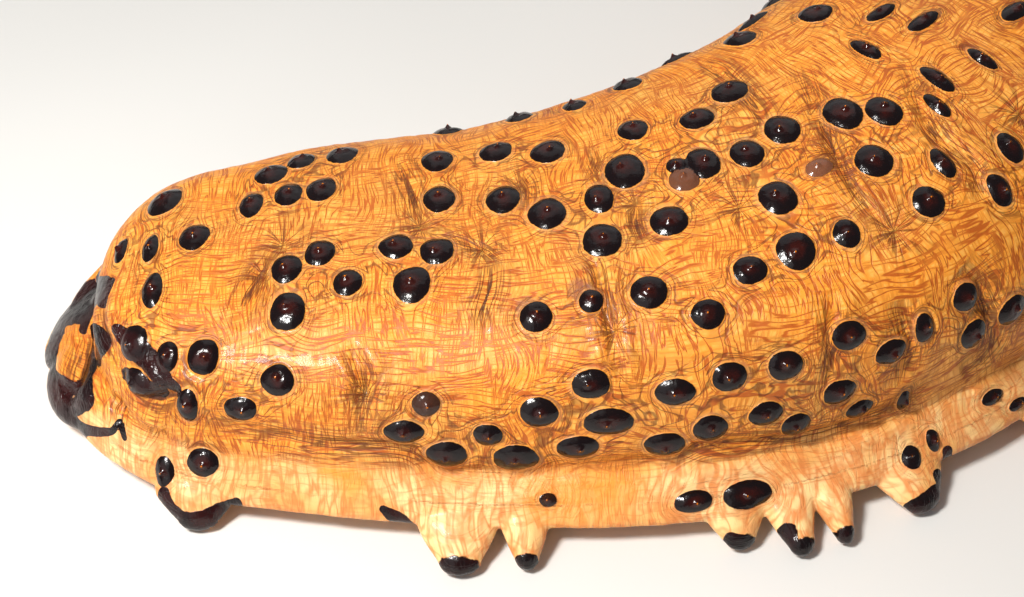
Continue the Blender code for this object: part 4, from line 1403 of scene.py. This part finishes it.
@dataclass
class Skin:
    """The one fused skin, raised into warts and drawn into creases."""

    torso: Torso
    eye: Eye
    bed: WartBed
    margin: Margin
    collar: Collar
    vent: Vent
    finish: SkinFinish = SkinFinish()
    voxel: float = 0.34 * MM
    smoothing: int = 7
    seed: int = 23
    ring_softness: float = 1.8 * MM
    open_skin: float = 14 * MM
    wart_reach: float = 13 * MM
    star_reach: float = 14 * MM
    star_spokes: int = 11
    mark_reach: float = 9 * MM
    girth_radius: float = 38 * MM
    mouth_at: float = 19.5 * MM
    mouth_radius: float = 9.5 * MM
    mouth_roof: float = 6.2 * MM
    unseen_stars: int = 18
    star_spots: tuple[tuple[float, float], ...] = (
        (420, 225), (482, 248), (520, 187), (635, 202), (739, 205), (365, 395), (283, 245),
        (265, 275), (834, 148), (895, 230), (615, 330),
    )
    # Each fold is a groove with painted shade along it, as dark as its shade.
    folds: tuple[Fold, ...] = (
        Fold(((420, 225), (450, 238), (482, 248), (492, 256), (500, 263))),
        Fold(((492, 256), (490, 285), (482, 310), (478, 330))),
        Fold(((375, 370), (365, 395), (360, 440)), 0.5 * MM, 1.1 * MM, 0.7),
        Fold(((350, 345), (362, 375), (365, 395)), 0.4 * MM, 0.9 * MM, 0.6),
        Fold(((800, 60), (820, 110), (850, 180), (890, 230)), 0.45 * MM, 0.9 * MM, 0.8),
        Fold(((830, 290), (835, 340), (825, 420)), 0.7 * MM, 1.1 * MM, 0.6),
        Fold(((515, 178), (523, 190), (523, 216))),
        Fold(((395, 155), (408, 185), (415, 205), (420, 225))),
        Fold(((590, 145), (600, 170), (618, 190), (635, 202))),
        Fold(((635, 202), (636, 222), (645, 245)), 0.4 * MM),
        Fold(((575, 250), (595, 262), (603, 300), (612, 335), (622, 385)), 0.5 * MM, 0.9 * MM, 0.7),
        Fold(((700, 60), (720, 70), (760, 110), (768, 135)), 0.4 * MM, 0.8 * MM, 0.5),
        Fold(((905, 60), (935, 130), (975, 165), (985, 200)), 0.6 * MM, 1.2 * MM, 0.6),
        Fold(((283, 245), (262, 272), (246, 300), (238, 330)), 0.5 * MM, 1.0 * MM, 0.6),
        # Painted shade: the dark inner bend of the body.
        Fold(((960, 270), (985, 300), (990, 345), (960, 372)), 1.2 * MM, 2.6 * MM, 0.4),
        Fold(((900, 300), (908, 345), (900, 385)), 0.9 * MM, 1.6 * MM, 0.6),
        Fold(((186, 418), (250, 432), (330, 446), (404, 450), (447, 472), (516, 478), (578, 466)),
             0.9 * MM, 1.5 * MM, 0.6),
        Fold(((578, 466), (665, 462), (710, 446), (795, 438), (859, 422), (905, 402), (935, 380)),
             0.9 * MM, 1.5 * MM, 0.6),
        # Painted shade: the shadow under the overhang of the head.
        Fold(((120, 368), (136, 392), (155, 401), (176, 398), (186, 418)), 1.4 * MM, 1.5 * MM),
        Fold(((104, 300), (102, 325), (112, 350), (122, 368)), 0.9 * MM, 1.2 * MM),
        Fold(((64, 397), (76, 380), (84, 350), (90, 332)), 1.3 * MM, 1.4 * MM),
        Fold(((119, 428), (122, 408), (128, 402)), 1.0 * MM, 1.1 * MM),
        Fold(((150, 462), (160, 445), (168, 430)), 0.6 * MM, 1.2 * MM, 0.4),
        Fold(((550, 478), (560, 495), (552, 512)), 0.5 * MM, 1.2 * MM, 0.4),
    )
    # Dark strokes of the animal's own dark skin on the collar, the hood and the margin, and among them
    # painted shade in the corner of a small fold below the head.
    dark_marks_and_fold_shade: tuple[Trail, ...] = (
        ((106, 280, 5), (87, 289, 10), (74, 305, 11), (61, 326, 8)),
        ((102, 290, 5), (90, 303, 7), (78, 318, 6)),
        ((60, 325, 6), (53, 345, 6), (50, 370, 7), (56, 388, 9), (66, 396, 6)),
        ((57, 376, 5), (70, 388, 8), (78, 384, 6)),
        ((48, 380, 9), (54, 405, 10), (66, 422, 10), (82, 434, 7)),
        ((112, 280, 3), (102, 304, 4)),
        ((93, 302, 4), (86, 318, 5), (83, 330, 4)),
        ((95, 328, 5), (99, 345, 9), (93, 362, 10), (84, 378, 10), (84, 400, 11), (74, 408, 9)),
        ((66, 402, 7), (72, 418, 8), (82, 427, 6), (95, 431, 5), (112, 431, 4), (118, 422, 3)),
        ((119, 330, 6), (134, 345, 12), (150, 361, 11), (165, 378, 8), (177, 387, 5)),
        ((127, 374, 7), (143, 386, 11), (160, 393, 7)),
        ((155, 372, 6), (172, 385, 6), (180, 393, 4)),
        # Painted shade: the dark corner of a small fold below the head.
        ((122, 426, 3), (126, 438, 2.5)),
        ((166, 492, 5), (170, 508, 8), (184, 521, 10), (204, 520, 10), (222, 510, 9), (236, 504, 7)),
        ((383, 509, 4), (400, 521, 8), (416, 533, 5)),
        ((452, 567, 7), (466, 570, 9)),
        ((519, 567, 7), (530, 573, 9)),
        ((732, 541, 9), (748, 546, 10)),
        ((800, 548, 9), (808, 553, 9)),
        ((834, 540, 8), (846, 541, 9)),
        ((909, 508, 6), (926, 503, 11), (936, 492, 8)),
        ((946, 450, 5), (946, 460, 5)),
        ((936, 474, 5), (940, 484, 4)),
    )
    light_marks: tuple[Trail, ...] = (
        ((69, 330, 5), (74, 350, 10), (72, 368, 9)),
        ((112, 372, 9), (110, 398, 14), (104, 416, 9)),
    )
    bruises: tuple[Trail, ...] = (
        ((578, 289, 10), (584, 293, 10)),
        ((527, 308, 10), (536, 312, 12)),
    )
    blushes: tuple[Trail, ...] = (
        ((545, 500, 24), (575, 494, 30), (620, 482, 22)),
        ((330, 470, 12), (352, 480, 14)),
    )
    nodes_stood_for: tuple[str, ...] = (
        "mouth_collar", "head_end", "front_body", "mid_body", "rear_body", "tail_end",
        "vent_rim", "sole_front", "sole_mid", "sole_rear",
    )

    def fuse(self) -> tuple[bpy.types.Object, BVHTree]:
        """Fuse the shells of the whole body into one even surface, with its search tree.

        Returns:
            The object and the search tree.
        """
        shells = self.torso.shells() + self.margin.shells() + self.collar.shells() + self.vent.shells()
        skin = object_of("skin", shells)
        remesh = skin.modifiers.new("fuse", "REMESH")
        remesh.mode = "VOXEL"
        remesh.voxel_size = self.voxel * 1
        remesh.use_smooth_shade = True
        relax = skin.modifiers.new("relax", "SMOOTH")
        relax.factor = 0.5
        relax.iterations = self.smoothing
        graph = bpy.context.evaluated_depsgraph_get()
        tree = BVHTree.FromObject(skin, graph)
        result = bpy.data.meshes.new_from_object(skin.evaluated_get(graph))
        skin.modifiers.clear()
        skin.data = result
        return skin, tree

    def read(self, data: bpy.types.Mesh) -> tuple[np.ndarray, np.ndarray]:
        """Points of a mesh and their normals.

        Args:
            data: the mesh.

        Returns:
            Two arrays, with a row for each point.
        """
        points = np.empty(len(data.vertices) * 3, np.float32)
        normals = np.empty(len(data.vertices) * 3, np.float32)
        data.vertices.foreach_get("co", points)
        data.vertex_normals.foreach_get("vector", normals)
        return points.reshape(-1, 3).astype(float), normals.reshape(-1, 3).astype(float)

    def keep(self, data: bpy.types.Mesh, name: str, values: np.ndarray) -> None:
        """Store a number or a vector for each point under a name.

        Args:
            data: the mesh.
            name: the name.
            values: a number or a vector for each point.
        """
        kind = "FLOAT_VECTOR" if values.ndim == 2 else "FLOAT"
        layer = data.attributes.new(name, kind, "POINT")
        layer.data.foreach_set("vector" if values.ndim == 2 else "value", values.astype(np.float32).ravel())

    def near(self, points: np.ndarray, place: Vector, reach: float) -> np.ndarray:
        """Indices of the points in a cube about a place.

        Args:
            points: points of the skin.
            place: middle of the cube.
            reach: half of the cube's side.

        Returns:
            The indices.
        """
        close = np.all(np.abs(points - np.array(place)) < reach, axis=1)
        return np.nonzero(close)[0]

    def raise_warts(self, points: np.ndarray, normals: np.ndarray, fields: Fields) -> np.ndarray:
        """Lift of the skin by its warts, which also fills the fields that depend on them.

        Args:
            points: points of the skin.
            normals: their normals.
            fields: arrays by name: wart, tone, dot and ring are filled, cross and around are bent.

        Returns:
            The lift along the normal at each point.
        """
        count = len(points)
        lift = np.zeros(count)
        edge = np.full(count, 6.0)
        tone = np.ones(count)
        dot = np.zeros(count)
        pull = np.full(count, math.exp(-self.open_skin / self.ring_softness))
        draw = random.Random(self.bed.seed + 40)
        for wart in self.bed.warts:
            near = self.near(points, wart.place, self.wart_reach)
            away = points[near] - np.array(wart.place)
            facing = normals[near] @ np.array(wart.normal) > -0.1
            near, away = near[facing], away[facing]
            along, around = away @ np.array(wart.along), away @ np.array(wart.around)
            x, y = along / wart.radius_along, around / wart.radius_around
            z = away @ np.array(wart.normal)
            turn = np.arctan2(y, x)
            wave = sum(
                draw.uniform(0.006, 0.024) * np.cos(k * turn + draw.uniform(0, TURN))
                for k in (2, 3, 4))
            share = np.sqrt(x * x + y * y + (z / (4 * MM)) ** 2 * 0.2) / (1 + wave)
            mean = (wart.radius_along + wart.radius_around) / 2
            pull[near] += np.exp(-np.maximum(share - 1, 0) * mean / self.ring_softness)
            outside = np.maximum(share, 0.9) ** 2
            fade = 0.75 * smooth_step(10 * MM, 4 * MM, share * mean) / outside
            fields["cross"][near] -= along * fade
            fields["around"][near] -= around * fade
            tip = np.array([draw.uniform(-0.2, 0.2), draw.uniform(-0.2, 0.2)])
            from_tip = np.hypot((x - tip[0]) * wart.radius_along, (y - tip[1]) * wart.radius_around)
            rise = wart.height * np.clip(1 - share ** 3.2, 0, 1) * (0.8 + 0.2 * np.clip(1 - share, 0, 1))
            rise += 0.6 * MM * bell(from_tip, 0.34 * MM) - 0.07 * MM * bell(from_tip - 0.75 * MM, 0.35 * MM)
            rise -= 0.05 * MM * bell(share - 1.14, 0.12)
            taken = np.abs(rise) > np.abs(lift[near])
            lift[near[taken]] = rise[taken]
            closer = share < edge[near]
            edge[near[closer]] = share[closer]
            tone[near[closer]] = wart.tone
            dot[near] = np.maximum(dot[near], bell(from_tip, 0.3 * MM))
        fields["wart"] = edge
        fields["tone"] = tone
        fields["dot"] = dot
        fields["ring"] = -self.ring_softness * np.log(pull)
        return lift

    def star_places(self, tree: BVHTree) -> list[tuple[Vector, Vector]]:
        """Places and normals of the star-shaped creases, seeded ones on the unseen skin among them.

        Args:
            tree: search tree of the skin.

        Returns:
            A place and a normal for each.
        """
        found = []
        for column, row in self.star_spots:
            place, normal = self.eye.sight(tree, column, row)
            if place is not None:
                found.append((place, normal))
        draw = random.Random(self.seed)
        midline = self.torso.midline
        while len(found) < len(self.star_spots) + self.unseen_stars:
            s = draw.uniform(self.torso.dome_start + 15 * MM, self.torso.dome_end - 15 * MM)
            turn = draw.uniform(math.radians(25), math.radians(155))
            core = self.torso.core_height
            middle = Vector(midline.beside(s, 0, core))
            outward = Vector(midline.beside(s, math.cos(turn), core + math.sin(turn))) - middle
            outside = middle + outward.normalized() * self.torso.clear_distance
            place, normal, _, _ = tree.ray_cast(outside, -outward)
            if place is None or normal.dot(outward) < 0:
                continue
            if not self.eye.sees(tree, place + normal * 3 * MM):
                found.append((place, normal))
        return found

    def mark_stars(self, points: np.ndarray, tree: BVHTree, fields: Fields) -> np.ndarray:
        """Lift at the star-shaped creases, which also fills the field star.

        Args:
            points: points of the skin.
            tree: search tree of the skin.
            fields: arrays by name.

        Returns:
            The lift along the normal at each point.
        """
        star = np.zeros((len(points), 3))
        star[:, 0] = 1
        lift = np.zeros(len(points))
        for place, normal in self.star_places(tree):
            near = self.near(points, place, self.star_reach)
            away = points[near] - np.array(place)
            along, around = self.torso.midline.axes(place, normal)
            x, y = away @ np.array(along), away @ np.array(around)
            far = np.linalg.norm(away, axis=1)
            weight = bell(far, 5.0 * MM)
            stronger = weight > star[near, 2]
            chosen = near[stronger]
            star[chosen] = np.stack([x[stronger], y[stronger], weight[stronger]], axis=1)
            spokes = np.cos(self.star_spokes * np.arctan2(y, x)) * bell(far - 2.6 * MM, 2.0 * MM)
            lift[near] -= 0.35 * MM * bell(far, 1.8 * MM) - 0.06 * MM * spokes
        star[:, :2] /= MM
        fields["star"] = star
        return lift

    def mark_folds(self, points: np.ndarray, tree: BVHTree, fields: Fields) -> np.ndarray:
        """Lift along the creases, which also fills the fields crease (painted shade along them), furrow and
        furrow_share.

        Args:
            points: points of the skin.
            tree: search tree of the skin.
            fields: arrays by name.

        Returns:
            The lift along the normal at each point.
        """
        crease = np.zeros(len(points))
        furrow = np.zeros(len(points))
        furrow_share = np.zeros(len(points))
        lift = np.zeros(len(points))
        wander = SmoothNoise(8, 2.4 * MM).at(points)
        for fold in self.folds:
            line = trace(self.eye, tree, tuple((x, y, 1.0) for x, y in fold.spots))
            near, gap, share, _ = away_from(line, points, self.mark_reach)
            ends = np.sin(np.clip(share, 0, 1) * math.pi) ** 0.5
            ragged = np.maximum(gap + 0.3 * MM * wander[near], 0)
            # Painted shade: how dark the shade painted along the fold is at each point.
            crease[near] = np.maximum(crease[near], fold.shade * ends * bell(ragged, 0.26 * fold.width))
            bank = 0.3 * fold.depth * bell(gap - 2.6 * fold.width, fold.width)
            dip = fold.depth * bell(gap, fold.width) - bank
            lift[near] -= ends * dip
            weight = ends * bell(gap, 2.4 * MM + fold.width)
            stronger = weight > furrow_share[near]
            furrow_share[near[stronger]] = weight[stronger]
            furrow[near[stronger]] = gap[stronger]
        fields["crease"] = crease
        fields["furrow"] = furrow
        fields["furrow_share"] = furrow_share
        return lift

    def mark_strokes(self, points: np.ndarray, normals: np.ndarray, tree: BVHTree,
                     trails: tuple[Trail, ...]) -> np.ndarray:
        """Field that is 1 in the middle of strokes, 0.5 on their edges and 0 beyond them.

        Args:
            points: points of the skin.
            normals: their normals.
            tree: search tree of the skin.
            trails: the strokes, as the picture shows them.

        Returns:
            The field's value at each point.
        """
        mark = np.zeros(len(points))
        eye = np.array(self.eye.axes[0])
        for spots in trails:
            line = trace(self.eye, tree, spots)
            if len(line) < 2:
                continue
            near, away, _, _ = away_from(line, points, self.mark_reach, 30 * MM)
            facing = np.einsum("ij,ij->i", normals[near], eye - points[near]) > 0
            near = near[facing & (away < self.mark_reach)]
            flat = np.insert(self.eye.picture(points[near]), 2, 0, axis=1)
            chosen, gap, _, half = away_from(np.insert(course(spots), 2, 0, axis=1), flat, 60, np.inf)
            near = near[chosen]
            mark[near] = np.maximum(mark[near], 1 - 0.5 * gap / half)
        return mark

    def mark_margin(self, points: np.ndarray, fields: Fields) -> None:
        """Fill the fields that follow from where each point lies on the body.

        Args:
            points: points of the skin.
            fields: arrays by name.
        """
        s, across = self.torso.midline.locate(points)
        out = np.abs(across) / np.maximum(self.torso.margin(s), MM)
        z = points[:, 2]
        fields["skirt"] = smooth_step(0.8, 0.93, out) * smooth_step(14.5 * MM, 11 * MM, z)
        fields["under"] = smooth_step(3.4 * MM, 2.4 * MM, z) * smooth_step(0.99, 0.86, out)
        tip = np.zeros(len(points))
        for papilla in self.margin.papillae:
            same = np.sign(across) == papilla.side.value
            near = same & (np.abs(s - papilla.s) < papilla.half * 1.4)
            beyond = (np.abs(across[near]) - self.torso.margin(s[near])) / papilla.reach
            beside = np.abs(s[near] - papilla.s) / papilla.half
            reached = smooth_step(0.3, 1.1, beyond) * smooth_step(1.35, 0.9, beside)
            tip[near] = np.maximum(tip[near], reached)
        fields["tip"] = tip
        wander = 0.9 * MM * SmoothNoise(5, 6 * MM).at(points)
        around = np.arctan2(z - self.torso.core_height, across) * self.girth_radius
        fields["cross"] = s + wander
        fields["around"] = around + 0.9 * MM * SmoothNoise(6, 7 * MM).at(points)

    def hollow_mouth(self, points: np.ndarray) -> None:
        """Push the underside up round the mouth.

        Args:
            points: points of the skin, which are moved.
        """
        middle = self.torso.midline.beside(self.mouth_at, 0, 0)
        away = np.hypot(points[:, 0] - middle[0], points[:, 1] - middle[1])
        low = points[:, 2] < 5 * MM
        rise = smooth_step(self.mouth_radius, self.mouth_radius - 1.2 * MM, away)
        target = points[:, 2] + (self.mouth_roof - self.torso.skirt_low) * rise
        points[:, 2] = np.where(low, target, points[:, 2])

    def wrinkles(self, points: np.ndarray, fields: Fields) -> np.ndarray:
        """Lift of the woven wrinkles between the warts.

        Args:
            points: points of the skin.
            fields: arrays by name.

        Returns:
            The lift along the normal at each point.
        """
        place = points / (6 * MM)
        lift = np.zeros(len(points))
        weaves = (("cross", 1.3 * MM, 0.07 * MM, 51), ("around", 1.5 * MM, 0.06 * MM, 52))
        for name, pitch, depth, seed in weaves:
            drawn = np.stack([fields[name] / pitch, place[:, 0], place[:, 1] + place[:, 2]], axis=1)
            lift += depth * SmoothNoise(seed, 1.0).at(drawn)
        drawn = np.stack([fields["furrow"] / (1.2 * MM), place[:, 0], place[:, 1] + place[:, 2]], axis=1)
        return lift + 0.16 * MM * SmoothNoise(53, 1.0).at(drawn) * fields["furrow_share"]

    def build(self) -> bpy.types.Object:
        """Build and dress the skin.

        Returns:
            The object.
        """
        skin, tree = self.fuse()
        data = skin.data
        log.info("fused skin: %d faces", len(data.polygons))
        points, normals = self.read(data)
        fields: Fields = {}
        self.mark_margin(points, fields)
        lift = self.raise_warts(points, normals, fields)
        creased = self.mark_stars(points, tree, fields) + self.mark_folds(points, tree, fields)
        light = self.mark_strokes(points, normals, tree, self.light_marks)
        # The mark field is dark skin, and in one fold corner painted shade.
        fields["mark"] = np.minimum(self.mark_strokes(points, normals, tree, self.dark_marks_and_fold_shade), 1 - light)
        fields["bruise"] = self.mark_strokes(points, normals, tree, self.bruises)
        fields["blush"] = self.mark_strokes(points, normals, tree, self.blushes)
        clear = smooth_step(1.0, 1.5, fields["wart"])
        plain = clear * smooth_step(0.6, 0.4, fields["mark"])
        swell = SmoothNoise(3, 9 * MM).at(points) * 0.25 * MM
        swell += SmoothNoise(4, 21 * MM).at(points) * 0.5 * MM
        glossy = np.maximum(smooth_step(0.45, 0.6, fields["mark"]), smooth_step(1.0, 0.85, fields["wart"]))
        pebbles = SmoothNoise(7, 0.8 * MM).at(points) * 0.06 * MM * glossy
        top = smooth_step(2.6 * MM, 6 * MM, points[:, 2])
        lift = top * (lift + swell) + creased * clear + plain * self.wrinkles(points, fields) + pebbles
        points += normals * lift[:, None]
        self.hollow_mouth(points)
        points[:, 2] = np.maximum(points[:, 2], 0.25 * MM)
        data.vertices.foreach_set("co", points.astype(np.float32).ravel())
        for name, values in fields.items():
            self.keep(data, name, values)
        data.materials.clear()
        data.materials.append(self.finish.material())
        data.shade_smooth()
        data.update()
        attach(skin, "root")
        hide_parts(*self.nodes_stood_for)
        return skin


@dataclass
class TubeFeet:
    """Three bands of tube feet under the sole, each a stalk with a disc flat on the floor."""

    torso: Torso
    bands: tuple[tuple[float, float], ...] = ((-0.66, -0.5), (-0.13, 0.13), (0.5, 0.66))
    pitch: float = 2.7 * MM
    stalk: float = 0.42 * MM
    disc: float = 0.72 * MM
    sides: int = 10
    seed: int = 31
    finish: FleshFinish = FleshFinish("tube_feet", srgb(236, 196, 150), srgb(196, 120, 66))

    def foot(self, s: float, across: float, size: float) -> Shell:
        """One tube foot at a place under the sole.

        Args:
            s: distance along the midline.
            across: distance to the left of it.
            size: its size, as a share of the full one.

        Returns:
            Its closed shell.
        """
        spin = np.linspace(0, TURN, self.sides, endpoint=False)
        steps = (
            (self.stalk * 1.35, 1.6 * MM), (self.stalk, 1.0 * MM), (self.stalk, 0.7 * MM),
            (self.disc * 0.85, 0.32 * MM), (self.disc, 0.12 * MM), (self.disc * 0.96, 0.0),
            (self.disc * 0.45, 0.0), (self.disc * 0.3, 0.1 * MM),
        )
        centre = self.torso.midline.beside(s, across, 0)
        rings = []
        for radius, level in steps:
            ring = np.stack([np.cos(spin), np.sin(spin), np.zeros(self.sides)], axis=1) * radius * size
            rings.append(centre + ring + np.array((0, 0, level)))
        return loft(rings)

    def build(self) -> bpy.types.Object:
        """Build and dress the tube feet.

        Returns:
            The object.
        """
        draw = random.Random(self.seed)
        start, end = self.torso.sole_span
        shells = []
        for low, high in self.bands:
            s = start + 3 * MM
            while s < end - 3 * MM:
                wide = float(self.torso.half_width(s))
                across = low * wide
                while across < high * wide:
                    shift = draw.uniform(-0.35, 0.35) * self.pitch
                    place = s + draw.uniform(-0.35, 0.35) * self.pitch
                    shells.append(self.foot(place, across + shift, draw.uniform(0.8, 1.15)))
                    across += self.pitch
                s += self.pitch
        feet = object_of("tube_feet", shells)
        feet.data.materials.append(self.finish.material())
        feet.data.shade_smooth()
        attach(feet, "root")
        return feet


@dataclass
class MouthCrown:
    """Ring of folded tentacles in the hollow of the mouth."""

    torso: Torso
    middle: float = 19.5 * MM
    count: int = 20
    ring: float = 6.0 * MM
    top: float = 6.0 * MM
    floor: float = 0.75 * MM
    lobes: int = 7
    finish: FleshFinish = FleshFinish("tentacles", srgb(150, 92, 58), srgb(58, 30, 22), 0.28)

    def tentacle(self, turn: float) -> Shell:
        """Short stalk that widens into a lobed disc near the floor.

        Args:
            turn: its direction from the middle of the mouth.

        Returns:
            Its closed shell.
        """
        middle = self.torso.midline.beside(self.middle, 0, 0)
        out = np.array((math.cos(turn), math.sin(turn), 0))
        side = np.array((-math.sin(turn), math.cos(turn), 0))
        spin = np.linspace(0, TURN, 42, endpoint=False)
        steps = (
            (0.0, 0.7 * MM, self.top, 0.0), (0.3 * MM, 0.62 * MM, 4.0 * MM, 0.0),
            (0.9 * MM, 0.75 * MM, 2.6 * MM, 0.05), (1.3 * MM, 1.25 * MM, 1.8 * MM, 0.2),
            (1.5 * MM, 1.3 * MM, 1.2 * MM, 0.34), (1.5 * MM, 1.1 * MM, self.floor, 0.34),
            (1.5 * MM, 0.5 * MM, self.floor + 0.25 * MM, 0.1),
        )
        rings = []
        for away, radius, level, depth in steps:
            wide = radius * (1 + depth * np.cos(self.lobes * spin) * 0.5)
            east = (self.ring + away + wide * np.cos(spin))[:, None] * out
            ring = middle + east + (wide * np.sin(spin))[:, None] * side
            rings.append(ring + np.array((0, 0, level)))
        return loft(rings)

    def build(self) -> bpy.types.Object:
        """Build and dress the crown.

        Returns:
            The object.
        """
        shells = [self.tentacle(TURN * (i + 0.5) / self.count) for i in range(self.count)]
        crown = object_of("mouth_tentacles_fine", shells)
        crown.data.materials.append(self.finish.material())
        crown.data.shade_smooth()
        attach(crown, "root")
        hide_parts("mouth_tentacles")
        return crown


@dataclass(frozen=True)
class Lamp:
    """One square lamp: where it hangs, how wide and how strong it is, and its hue."""

    name: str
    place: tuple[float, float, float]
    size: float
    power: float
    colour: Colour = (1, 1, 1)

    def hang(self, target: Vector) -> None:
        """Hang the lamp so that it faces a target.

        Args:
            target: the point that it faces.
        """
        data = bpy.data.lights.new(self.name, "AREA")
        data.size = self.size
        data.energy = self.power
        data.color = self.colour
        lamp = bpy.data.objects.new(self.name, data)
        lamp.location = self.place
        aim = target - Vector(self.place)
        lamp.rotation_euler = aim.to_track_quat("-Z", "Y").to_euler()
        bpy.context.scene.collection.objects.link(lamp)


@dataclass
class Studio:
    """Plain pale floor, soft lights and the camera."""

    eye: Eye
    floor_size: float = 6.0
    floor_colour: Colour = srgb(226, 224, 220)
    lens: float = 60.0
    lit_point: tuple[float, float, float] = (0.0, -0.02, 0.02)
    lamps: tuple[Lamp, ...] = (
        Lamp("key", (-0.21, -0.19, 0.34), 0.07, 2.05, (1, 0.98, 0.95)),
        Lamp("back", (-0.05, 0.6, 0.6), 0.9, 1.35),
        Lamp("fill", (-0.5, -0.55, 0.4), 0.8, 1.45),
    )
    room_colour: tuple[float, float, float, float] = (0.9, 0.95, 1.0, 1)
    room_strength: float = 0.17

    def build_floor(self) -> None:
        """Wide pale floor, which isn't part of the object."""
        half = self.floor_size / 2
        corners = np.array([(-half, -half, 0), (half, -half, 0), (half, half, 0), (-half, half, 0)], float)
        data = bpy.data.meshes.new("studio_floor")
        data.from_pydata(corners.tolist(), [], [(0, 1, 2, 3)])
        floor = bpy.data.objects.new("studio_floor", data)
        bpy.context.scene.collection.objects.link(floor)
        nodes = Nodes("pale_floor")
        cloud = nodes.step(nodes.noise(6, 2, 0.5), 0.3, 0.7)
        nodes.set(Base_Color=nodes.mix(cloud, self.floor_colour, srgb(220, 218, 214)), Roughness=0.6)
        data.materials.append(nodes.material)

    def build_camera(self) -> None:
        """Camera where the eye stands."""
        data = bpy.data.cameras.new("camera")
        data.lens = self.lens
        data.sensor_width = 36
        data.clip_start = 0.01
        camera = bpy.data.objects.new("camera", data)
        camera.location = self.eye.axes[0]
        camera.rotation_euler = (self.eye.tilt, 0, 0)
        bpy.context.scene.collection.objects.link(camera)
        bpy.context.scene.camera = camera

    def build(self) -> None:
        """Set up the whole studio."""
        self.build_floor()
        for lamp in self.lamps:
            lamp.hang(Vector(self.lit_point))
        world = bpy.data.worlds.new("soft_room")
        world.use_nodes = True
        background = world.node_tree.nodes["Background"]
        background.inputs[0].default_value = self.room_colour
        background.inputs[1].default_value = self.room_strength
        bpy.context.scene.world = world
        bpy.context.scene.view_settings.view_transform = "Standard"
        self.build_camera()


def main() -> None:
    """Build every sub-assembly in order and report it."""
    logging.basicConfig(level=logging.INFO, format="%(name)s: %(message)s")
    torso = Torso()
    eye = Eye()
    bed = WartBed(torso, eye)
    log.info("warts: %d", len(bed.warts))
    skin = Skin(torso, eye, bed, Margin(torso), Collar(torso), Vent(torso))
    for piece in (skin.build(), TubeFeet(torso).build(), MouthCrown(torso).build()):
        log.info("%s: %d faces", piece.name, len(piece.data.polygons))
    Studio(eye).build()


if __name__ == "__main__":
    main()
